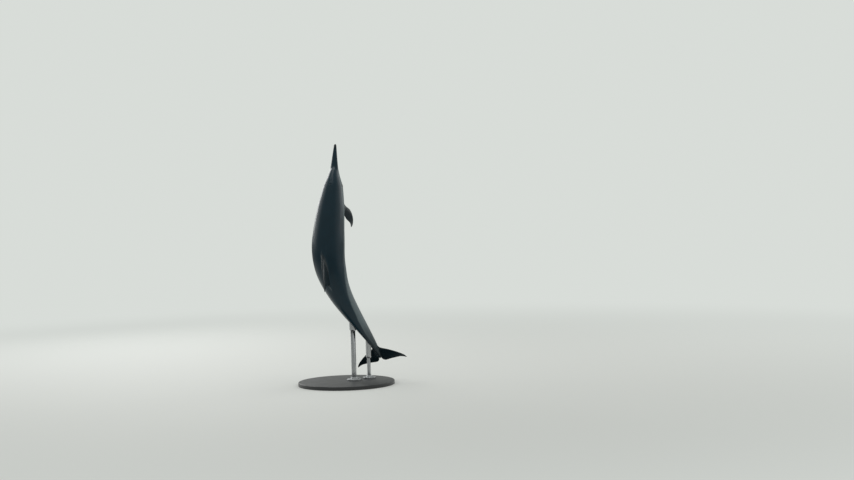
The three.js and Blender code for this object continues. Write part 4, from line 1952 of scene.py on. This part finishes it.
@dataclass(frozen=True)
class SkinFinish:
    """Smooth wet skin: a dark cape over the back, grey sides and a pale belly.

    The edges of the cape and of the belly are rows of (share of the body length, share of half a
    turn from the middle of the back). A noise is given by its scale, detail and warp, a bump by
    its strength and depth, and an edge or a reach by the values that a mark fades between.
    """

    cape: str = "0d2a36"
    flank: str = "616e73"
    belly: str = "cbccc6"
    fins: str = "0a1e25"
    marks: str = "171f24"
    scar: str = "9aa3a6"
    cape_edge: Rows = (
        (0.0, 0.5), (0.085, 0.48), (0.1, 0.4), (0.12, 0.35), (0.15, 0.37), (0.18, 0.39),
        (0.25, 0.42), (0.35, 0.455), (0.45, 0.465), (0.55, 0.43), (0.65, 0.36), (0.75, 0.28),
        (0.85, 0.23), (1.0, 0.23),
    )
    belly_edge: Rows = (
        (0.0, 0.53), (0.08, 0.545), (0.14, 0.56), (0.2, 0.6), (0.26, 0.655), (0.35, 0.67),
        (0.5, 0.68), (0.6, 0.69), (0.67, 0.73), (0.72, 0.84), (0.75, 1.0), (1.0, 1.0),
    )
    belly_scale: float = 1.08
    length: float = BODY_LENGTH
    cape_blur: Pair = (-0.034, 0.034)
    belly_blur: Pair = (-0.018, 0.034)
    wander: Pair = (8.0, 0.07)
    fray: Pair = (34.0, 0.012)
    tail_edge: Pair = (0.76, 0.93)
    tail_strength: float = 0.8
    fin_edge: Pair = (0.015, 0.12)
    beak_edge: Pair = (0.03, 0.008)
    beak_strength: float = 0.85

    corner_at: float = 0.141
    lip_end: Pair = (0.002, -0.012)
    lip_least: float = 0.001
    lip_edge: Pair = (0.0046, 0.002)
    lip_strength: float = 0.92

    eye: Pair = (EYE_AT, 0.5167)
    eye_patch: Pair = (0.024, 0.0145)
    eye_patch_edge: Pair = (1.7, 0.55)
    eye_patch_strength: float = 0.9
    head_radius: float = 0.073
    bridle_slope: float = -0.22
    bridle_edge: Pair = (0.0052, 0.0008)
    bridle_tip: Pair = (-0.13, -0.09)
    bridle_root: Pair = (0.0, -0.02)
    bridle_strength: float = 0.5

    stripe_reach: Pair = (0.18, 0.25)
    stripe_middle: Pair = (0.53, 0.655)
    stripe_width: Pair = (0.022, 0.05)
    stripe_edge: Pair = (1.5, 0.2)
    stripe_start: Pair = (0.176, 0.186)
    stripe_end: Pair = (0.3, 0.27)
    stripe_strength: float = 0.7

    scratch_rate: Triple = (7.0, 95.0, 4.0)
    scratch: Triple = (1.0, 1.0, 0.15)
    scratch_edge: Pair = (0.66, 0.76)
    patches: Pair = (3.2, 1.0)
    patch_edge: Pair = (0.52, 0.62)
    body_edge: Pair = (0.02, 0.0)
    scratch_strength: float = 0.17
    scratch_dullness: float = 0.5

    mottle: Triple = (11.0, 6.0, 0.4)
    mottle_tones: Pair = (0.82, 1.18)
    blotch: Pair = (5.0, 4.0)
    roughness: Pair = (0.26, 0.42)
    pores: Pair = (420.0, 3.0)
    pore_bump: Pair = (0.12, 0.0006)
    swell: Pair = (9.0, 2.0)
    swell_bump: Pair = (0.25, 0.004)
    wet_index: float = 1.33
    coat_weight: float = 0.3
    coat_roughness: float = 0.1

    def make(self) -> bpy.types.Material:
        """Makes the material.

        Returns:
            The material.
        """
        paint = Paint("wet_skin")
        where = paint.where()
        shade = paint.spread(paint.noise(where, *self.mottle), *self.mottle_tones)
        hsv = paint.add("HueSaturation", Color=self.markings(paint, where), Value=shade)
        marks = self.scratches(paint, where)
        paint.set(Base_Color=paint.mix(marks, hsv.outputs["Color"], self.scar))
        rough = paint.spread(paint.noise(where, *self.blotch), *self.roughness)
        paint.set(Roughness=paint.plus(rough, paint.times(marks, self.scratch_dullness)))
        paint.set(IOR=self.wet_index, Coat_IOR=self.wet_index)
        paint.set(Coat_Weight=self.coat_weight, Coat_Roughness=self.coat_roughness)
        swell = paint.bump(paint.noise(where, *self.swell), *self.swell_bump)
        paint.set(Normal=paint.bump(paint.noise(where, *self.pores), *self.pore_bump, swell))
        return paint.material

    def scratches(self, paint: Paint, where: Socket) -> Socket:
        """A few faint scratches that run along the body, in scattered patches.

        Args:
            paint: the material in the making.
            where: the place on the piece.

        Returns:
            How much of a scratch there is.
        """
        aside = paint.add("SeparateXYZ", Vector=where).outputs["X"]
        along, turn = paint.attribute("along"), paint.attribute("round")
        flow = paint.add("CombineXYZ", X=along, Y=turn, Z=aside).outputs["Vector"]
        lines = paint.noise(paint.stretched(flow, self.scratch_rate), *self.scratch)
        patches = paint.step(paint.noise(where, *self.patches), *self.patch_edge)
        on_body = paint.step(paint.attribute("fin"), *self.body_edge)
        shown = paint.times(patches, on_body)
        marks = paint.times(paint.step(lines, *self.scratch_edge), shown)
        return paint.times(marks, self.scratch_strength)

    def stray(self, paint: Paint, where: Socket, scale: float, size: float) -> Socket:
        """A noise that moves an edge to both sides, by up to half a size."""
        return paint.times(paint.minus(paint.noise(where, scale), 0.5), size)

    def markings(self, paint: Paint, where: Socket) -> Socket:
        """The pattern of colours.

        Args:
            paint: the material in the making.
            where: the place on the piece.

        Returns:
            The colour.
        """
        along = paint.attribute("along")
        turn = paint.attribute("round")
        wander = self.stray(paint, where, *self.wander)
        loose = paint.plus(turn, paint.plus(wander, self.stray(paint, where, *self.fray)))
        below_cape = paint.minus(loose, paint.curve(along, self.cape_edge))
        belly_rows = [(at, edge / self.belly_scale) for at, edge in self.belly_edge]
        belly_edge = paint.times(paint.curve(along, belly_rows), self.belly_scale)
        on_belly = paint.step(paint.minus(loose, belly_edge), *self.belly_blur)
        colour = paint.mix(paint.step(below_cape, *self.cape_blur), self.cape, self.flank)
        colour = paint.mix(on_belly, colour, self.belly)
        tail = paint.times(paint.step(along, *self.tail_edge), self.tail_strength)
        colour = paint.mix(tail, colour, self.fins)
        for mask, strength in (
            (self.flipper_stripe(paint, along, turn), self.stripe_strength),
            (self.eye_patch_mask(paint, along, turn), self.eye_patch_strength),
            (self.lips(paint, along), self.lip_strength),
            (paint.step(along, *self.beak_edge), self.beak_strength),
        ):
            colour = paint.mix(paint.times(mask, strength), colour, self.marks)
        on_fin = paint.step(paint.attribute("fin"), *self.fin_edge)
        return paint.mix(on_fin, colour, self.fins)

    def lips(self, paint: Paint, along: Socket) -> Socket:
        """The dark line of the mouth.

        Args:
            paint: the material in the making.
            along: share of the body length.

        Returns:
            How much of the line there is.
        """
        off = paint.math("ABSOLUTE", paint.attribute("lip"))
        start, end = (self.corner_at + place for place in self.lip_end)
        taper = paint.spread(paint.step(along, start, end), self.lip_least, 1.0)
        return paint.step(paint.over(off, taper), *self.lip_edge)

    def eye_patch_mask(self, paint: Paint, along: Socket, turn: Socket) -> Socket:
        """The dark patch round the eye, with a thin bridle running forward from it.

        Args:
            paint: the material in the making.
            along: share of the body length.
            turn: share of half a turn from the middle of the back.

        Returns:
            How much of the patch there is.
        """
        ahead = paint.times(paint.minus(along, self.eye[0]), self.length)
        aside = paint.minus(turn, self.eye[1])
        aside = paint.times(aside, math.pi * self.head_radius)
        wide, high = self.eye_patch
        round_eye = paint.plus(paint.squared(ahead, wide), paint.squared(aside, high))
        patch = paint.step(round_eye, *self.eye_patch_edge)
        slope = paint.plus(aside, paint.times(ahead, self.bridle_slope))
        line = paint.step(paint.math("ABSOLUTE", slope), *self.bridle_edge)
        tip, root = paint.step(ahead, *self.bridle_tip), paint.step(ahead, *self.bridle_root)
        bridle = paint.times(paint.times(line, paint.times(tip, root)), self.bridle_strength)
        return paint.math("MAXIMUM", patch, bridle)

    def flipper_stripe(self, paint: Paint, along: Socket, turn: Socket) -> Socket:
        """The band from the eye to the flipper, which widens backward.

        Args:
            paint: the material in the making.
            along: share of the body length.
            turn: share of half a turn from the middle of the back.

        Returns:
            How much of the band there is.
        """
        middle = paint.carried(along, self.stripe_reach, self.stripe_middle)
        width = paint.carried(along, self.stripe_reach, self.stripe_width)
        off = paint.math("ABSOLUTE", paint.minus(turn, middle))
        band = paint.step(paint.over(off, width), *self.stripe_edge)
        start = paint.step(along, *self.stripe_start)
        return paint.times(band, paint.times(start, paint.step(along, *self.stripe_end)))


@dataclass(frozen=True)
class EyeFinish:
    """A dark brown eye under a glossy clear coat."""

    pupil: str = "040404"
    iris: str = "33200f"
    rim: str = "0d0b0a"
    white: str = "5d544e"
    iris_radius: float = 8.2 * MM
    pupil_size: Pair = (4.6 * MM, 2.9 * MM)
    flecks: Pair = (700.0, 4.0)
    fleck_size: float = 0.08
    pupil_edge: Pair = (0.9, 1.1)
    rim_edge: Pair = (0.72, 0.98)
    white_edge: Pair = (1.12, 1.3)
    roughness: float = 0.2
    specular: float = 0.1
    coat_roughness: float = 0.02

    def make(self) -> bpy.types.Material:
        """Makes the material.

        Returns:
            The material.
        """
        paint = Paint("eye")
        ahead, aside = paint.attribute("ahead"), paint.attribute("aside")
        flecks = paint.noise(paint.where(), *self.flecks)
        ring = paint.over(self.length(paint, ahead, aside, 1.0, 1.0), self.iris_radius)
        ring = paint.plus(ring, paint.times(flecks, self.fleck_size))
        pupil = self.length(paint, ahead, aside, *self.pupil_size)
        iris = paint.mix(flecks, self.rim, self.iris)
        colour = paint.mix(paint.step(pupil, *self.pupil_edge), self.pupil, iris)
        colour = paint.mix(paint.step(ring, *self.rim_edge), colour, self.rim)
        colour = paint.mix(paint.step(ring, *self.white_edge), colour, self.white)
        paint.set(Base_Color=colour, Roughness=self.roughness)
        paint.set(Specular_IOR_Level=self.specular)
        paint.set(Coat_Weight=1.0, Coat_Roughness=self.coat_roughness)
        return paint.material

    def length(self, paint: Paint, a: Socket, b: Socket, wide: float, high: float) -> Socket:
        """The distance from the middle of the eye, each way measured by its own size.

        Args:
            paint: the material in the making.
            a: distance ahead.
            b: distance to the side.
            wide: size ahead.
            high: size to the side.

        Returns:
            The distance.
        """
        across = paint.squared(paint.math("ABSOLUTE", a), wide)
        upward = paint.squared(paint.math("ABSOLUTE", b), high)
        return paint.math("SQRT", paint.plus(across, upward))


class Grain(Enum):
    """Which way the brushing of the steel runs."""

    LONG = "along an upright piece"
    TURNED = "in circles round an axis"


@dataclass(frozen=True)
class SteelFinish:
    """Stainless steel with a fine brushed grain."""

    grain: Grain
    colour: str = "b4b6b8"
    long_grain: Triple = (1300.0, 1300.0, 18.0)
    turned_grain: Triple = (1800.0, 1800.0, 1.0)
    lines: Pair = (1.0, 3.0)
    cloud: Pair = (14.0, 3.0)
    tones: Pair = (0.88, 1.12)
    roughness: Pair = (0.2, 0.5)
    bump: Pair = (0.04, 0.0002)

    def make(self, axis: Vector) -> bpy.types.Material:
        """Makes the material.

        Args:
            axis: a point of the upright axis that turned grain runs round.

        Returns:
            The material.
        """
        paint = Paint(f"brushed_steel_{self.grain.name.lower()}")
        where = paint.where()
        if self.grain is Grain.LONG:
            lines = paint.stretched(where, self.long_grain)
        else:
            off = paint.add("VectorMath", Vector=where)
            off.operation = "SUBTRACT"
            off.inputs[1].default_value = axis
            parts = paint.add("SeparateXYZ", Vector=off.outputs["Vector"])
            flat = paint.add("CombineXYZ", X=parts.outputs["X"], Y=parts.outputs["Y"])
            away = paint.away(flat.outputs["Vector"])
            both = paint.add("CombineXYZ", X=away, Y=parts.outputs["Z"])
            lines = paint.stretched(both.outputs["Vector"], self.turned_grain)
        grain = paint.noise(lines, *self.lines)
        cloud = paint.noise(where, *self.cloud)
        shade = paint.spread(cloud, *self.tones)
        tone = paint.add("HueSaturation", Color=linear(self.colour), Value=shade)
        paint.set(Base_Color=tone.outputs["Color"], Metallic=1.0)
        paint.set(Roughness=paint.spread(paint.times(grain, cloud), *self.roughness))
        paint.set(Normal=paint.bump(grain, *self.bump))
        return paint.material


@dataclass(frozen=True)
class LacquerFinish:
    """Charcoal satin lacquer with a slight orange peel and a few light scuffs."""

    colour: str = "2a2b2d"
    scuff: str = "3b3d40"
    peel: Pair = (260.0, 2.0)
    peel_bump: Pair = (0.1, 0.0003)
    scuff_scale: Triple = (3.0, 90.0, 20.0)
    scuffs: Triple = (1.0, 4.0, 1.5)
    scuff_edge: Pair = (0.6, 0.75)
    scuff_strength: float = 0.35
    haze: Pair = (18.0, 4.0)
    roughness: Pair = (0.34, 0.5)
    coat_weight: float = 0.15
    coat_roughness: float = 0.25

    def make(self) -> bpy.types.Material:
        """Makes the material.

        Returns:
            The material.
        """
        paint = Paint("charcoal_lacquer")
        where = paint.where()
        streaks = paint.noise(paint.stretched(where, self.scuff_scale), *self.scuffs)
        worn = paint.times(paint.step(streaks, *self.scuff_edge), self.scuff_strength)
        paint.set(Base_Color=paint.mix(worn, self.colour, self.scuff))
        paint.set(Roughness=paint.spread(paint.noise(where, *self.haze), *self.roughness))
        paint.set(Coat_Weight=self.coat_weight, Coat_Roughness=self.coat_roughness)
        paint.set(Normal=paint.bump(paint.noise(where, *self.peel), *self.peel_bump))
        return paint.material


@dataclass(frozen=True)
class FloorFinish:
    """A pale matt studio floor that runs out into the pale surround."""

    near: str = "e4e5e2"
    roughness: float = 0.75
    fade_from: float = 1.2
    fade_to: float = 8.0
    far_light: float = 0.2

    def make(self, surround: tuple[float, float, float, float], glow: float) -> bpy.types.Material:
        """Makes the material.

        Args:
            surround: colour of the world round the studio.
            glow: its strength.

        Returns:
            The material.
        """
        paint = Paint("studio_floor")
        where = paint.where()
        paint.set(Base_Color=linear(self.near), Roughness=self.roughness)
        share = paint.step(paint.away(where), self.fade_from, self.fade_to)
        seen = paint.add("LightPath").outputs["Is Camera Ray"]
        shown = paint.spread(seen, self.far_light, glow)
        far = paint.add("Emission", Color=surround, Strength=shown)
        both = paint.add("MixShader", Fac=share)
        paint.give(both.inputs[1], paint.shader.outputs["BSDF"])
        paint.give(both.inputs[2], far.outputs["Emission"])
        out = paint.tree.nodes["Material Output"]
        paint.give(out.inputs["Surface"], both.outputs["Shader"])
        return paint.material


# ---------------------------------------------------------------- studio


@dataclass(frozen=True)
class Lamp:
    """A square soft light that points at the middle of the dolphin."""

    name: str
    place: Triple
    size: float
    watts: float
    aim: Triple = (0.0, 0.0, 1.0)

    def build(self) -> None:
        """Adds the light."""
        bpy.ops.object.light_add(type="AREA", location=self.place)
        light = bpy.context.active_object
        light.name = self.name
        light.data.size = self.size
        light.data.energy = self.watts
        way = Vector(self.aim) - Vector(self.place)
        light.rotation_euler = way.to_track_quat("-Z", "Y").to_euler()


@dataclass
class Studio:
    """The floor, the soft lights and the camera."""

    frame_width: int = 854
    frame_height: int = 480
    focal_pixels: float = 1680.0
    beak_pixel: Pair = (335.2, 144.0)
    distance: float = 13.3
    azimuth: float = 14.0
    below_beak: float = 0.2
    horizon_tilt: float = 1.55
    beak: Vector = field(default_factory=lambda: Vector(BEAK_TIP))
    sensor: float = 36.0
    surround: tuple[float, float, float, float] = (0.765, 0.8, 0.765, 1.0)
    glow: float = 0.9
    ambient: float = 0.52
    floor_size: float = 800.0
    clip_end: float = 2000.0
    lamps: tuple[Lamp, ...] = (
        Lamp("top", (0.0, 0.0, 6.5), 5.0, 130.0),
        Lamp("key", (-6.0, 1.2, 3.5), 4.5, 40.0),
        Lamp("fill", (6.0, 1.2, 2.5), 4.5, 15.0),
        Lamp("rim_left", (-3.5, 4.0, 3.0), 3.0, 70.0),
        Lamp("rim_right", (4.0, 4.0, 3.0), 3.0, 25.0),
    )

    def add_camera(self) -> None:
        """Aims the camera so that the beak tip falls on its place in the frame."""
        turn = math.radians(self.azimuth)
        back = Vector((math.sin(turn), -math.cos(turn), 0))
        eye = Vector((self.beak.x, self.beak.y, self.beak.z - self.below_beak))
        eye += back * self.distance
        roll = math.radians(self.horizon_tilt)
        aside = self.beak_pixel[0] - self.frame_width / 2
        above = self.frame_height / 2 - self.beak_pixel[1]
        level_aside = aside * math.cos(roll) + above * math.sin(roll)
        level_above = -aside * math.sin(roll) + above * math.cos(roll)
        ray = Vector((level_aside, level_above, self.focal_pixels)).normalized()
        to_beak = (self.beak - eye).normalized()
        pitch = math.asin(to_beak.z / math.hypot(ray.y, ray.z)) - math.atan2(ray.y, ray.z)
        ahead = -ray.y * math.sin(pitch) + ray.z * math.cos(pitch)
        heading = math.atan2(to_beak.y, to_beak.x) + math.atan2(ray.x, ahead)
        look = Vector(
            (
                math.cos(heading) * math.cos(pitch),
                math.sin(heading) * math.cos(pitch),
                math.sin(pitch),
            )
        )
        bpy.ops.object.camera_add(location=eye)
        camera = bpy.context.active_object
        camera.name = "camera"
        level = look.to_track_quat("-Z", "Y").to_matrix()
        camera.rotation_euler = (level @ Matrix.Rotation(-roll, 3, "Z")).to_euler()
        camera.data.sensor_width = self.sensor
        camera.data.lens = self.sensor * self.focal_pixels / self.frame_width
        camera.data.clip_end = self.clip_end
        bpy.context.scene.camera = camera

    def add_floor(self) -> None:
        """Lays the floor."""
        bpy.ops.mesh.primitive_plane_add(size=self.floor_size)
        floor = bpy.context.active_object
        floor.name = "floor"
        floor.data.materials.append(FloorFinish().make(self.surround, self.glow))

    def add_world(self) -> None:
        """Sets the surround, which the camera sees brighter than the light that it gives."""
        world = bpy.data.worlds.new("studio")
        bpy.context.scene.world = world
        world.use_nodes = True
        tree = world.node_tree
        light = tree.nodes["Background"]
        light.inputs["Color"].default_value = self.surround
        light.inputs["Strength"].default_value = self.ambient
        seen = tree.nodes.new("ShaderNodeBackground")
        seen.inputs["Color"].default_value = self.surround
        seen.inputs["Strength"].default_value = self.glow
        ray = tree.nodes.new("ShaderNodeLightPath")
        both = tree.nodes.new("ShaderNodeMixShader")
        tree.links.new(ray.outputs["Is Camera Ray"], both.inputs[0])
        tree.links.new(light.outputs["Background"], both.inputs[1])
        tree.links.new(seen.outputs["Background"], both.inputs[2])
        tree.links.new(both.outputs["Shader"], tree.nodes["World Output"].inputs["Surface"])
        bpy.context.scene.view_settings.view_transform = "Standard"

    def build(self) -> None:
        """Adds the floor, the world, the lights and the camera."""
        self.add_floor()
        self.add_world()
        for lamp in self.lamps:
            lamp.build()
        self.add_camera()


def main() -> None:
    """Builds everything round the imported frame."""
    logging.basicConfig(level=logging.INFO, format="%(name)s %(message)s")
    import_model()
    bpy.ops.object.select_all(action="DESELECT")
    dolphin = DolphinSkin()
    skin = dolphin.build()
    declare(skin, "skin", SkinFinish().make(), *dolphin.replaced)
    eye_finish = EyeFinish().make()
    for side in Side:
        eyeball = Eyeball(dolphin.shape, side).build()
        declare(eyeball, "eye", eye_finish, f"eye_{side.word}")
    Stand(dolphin.shape.line).build(skin)
    Studio().build()


if __name__ == "__main__":
    main()
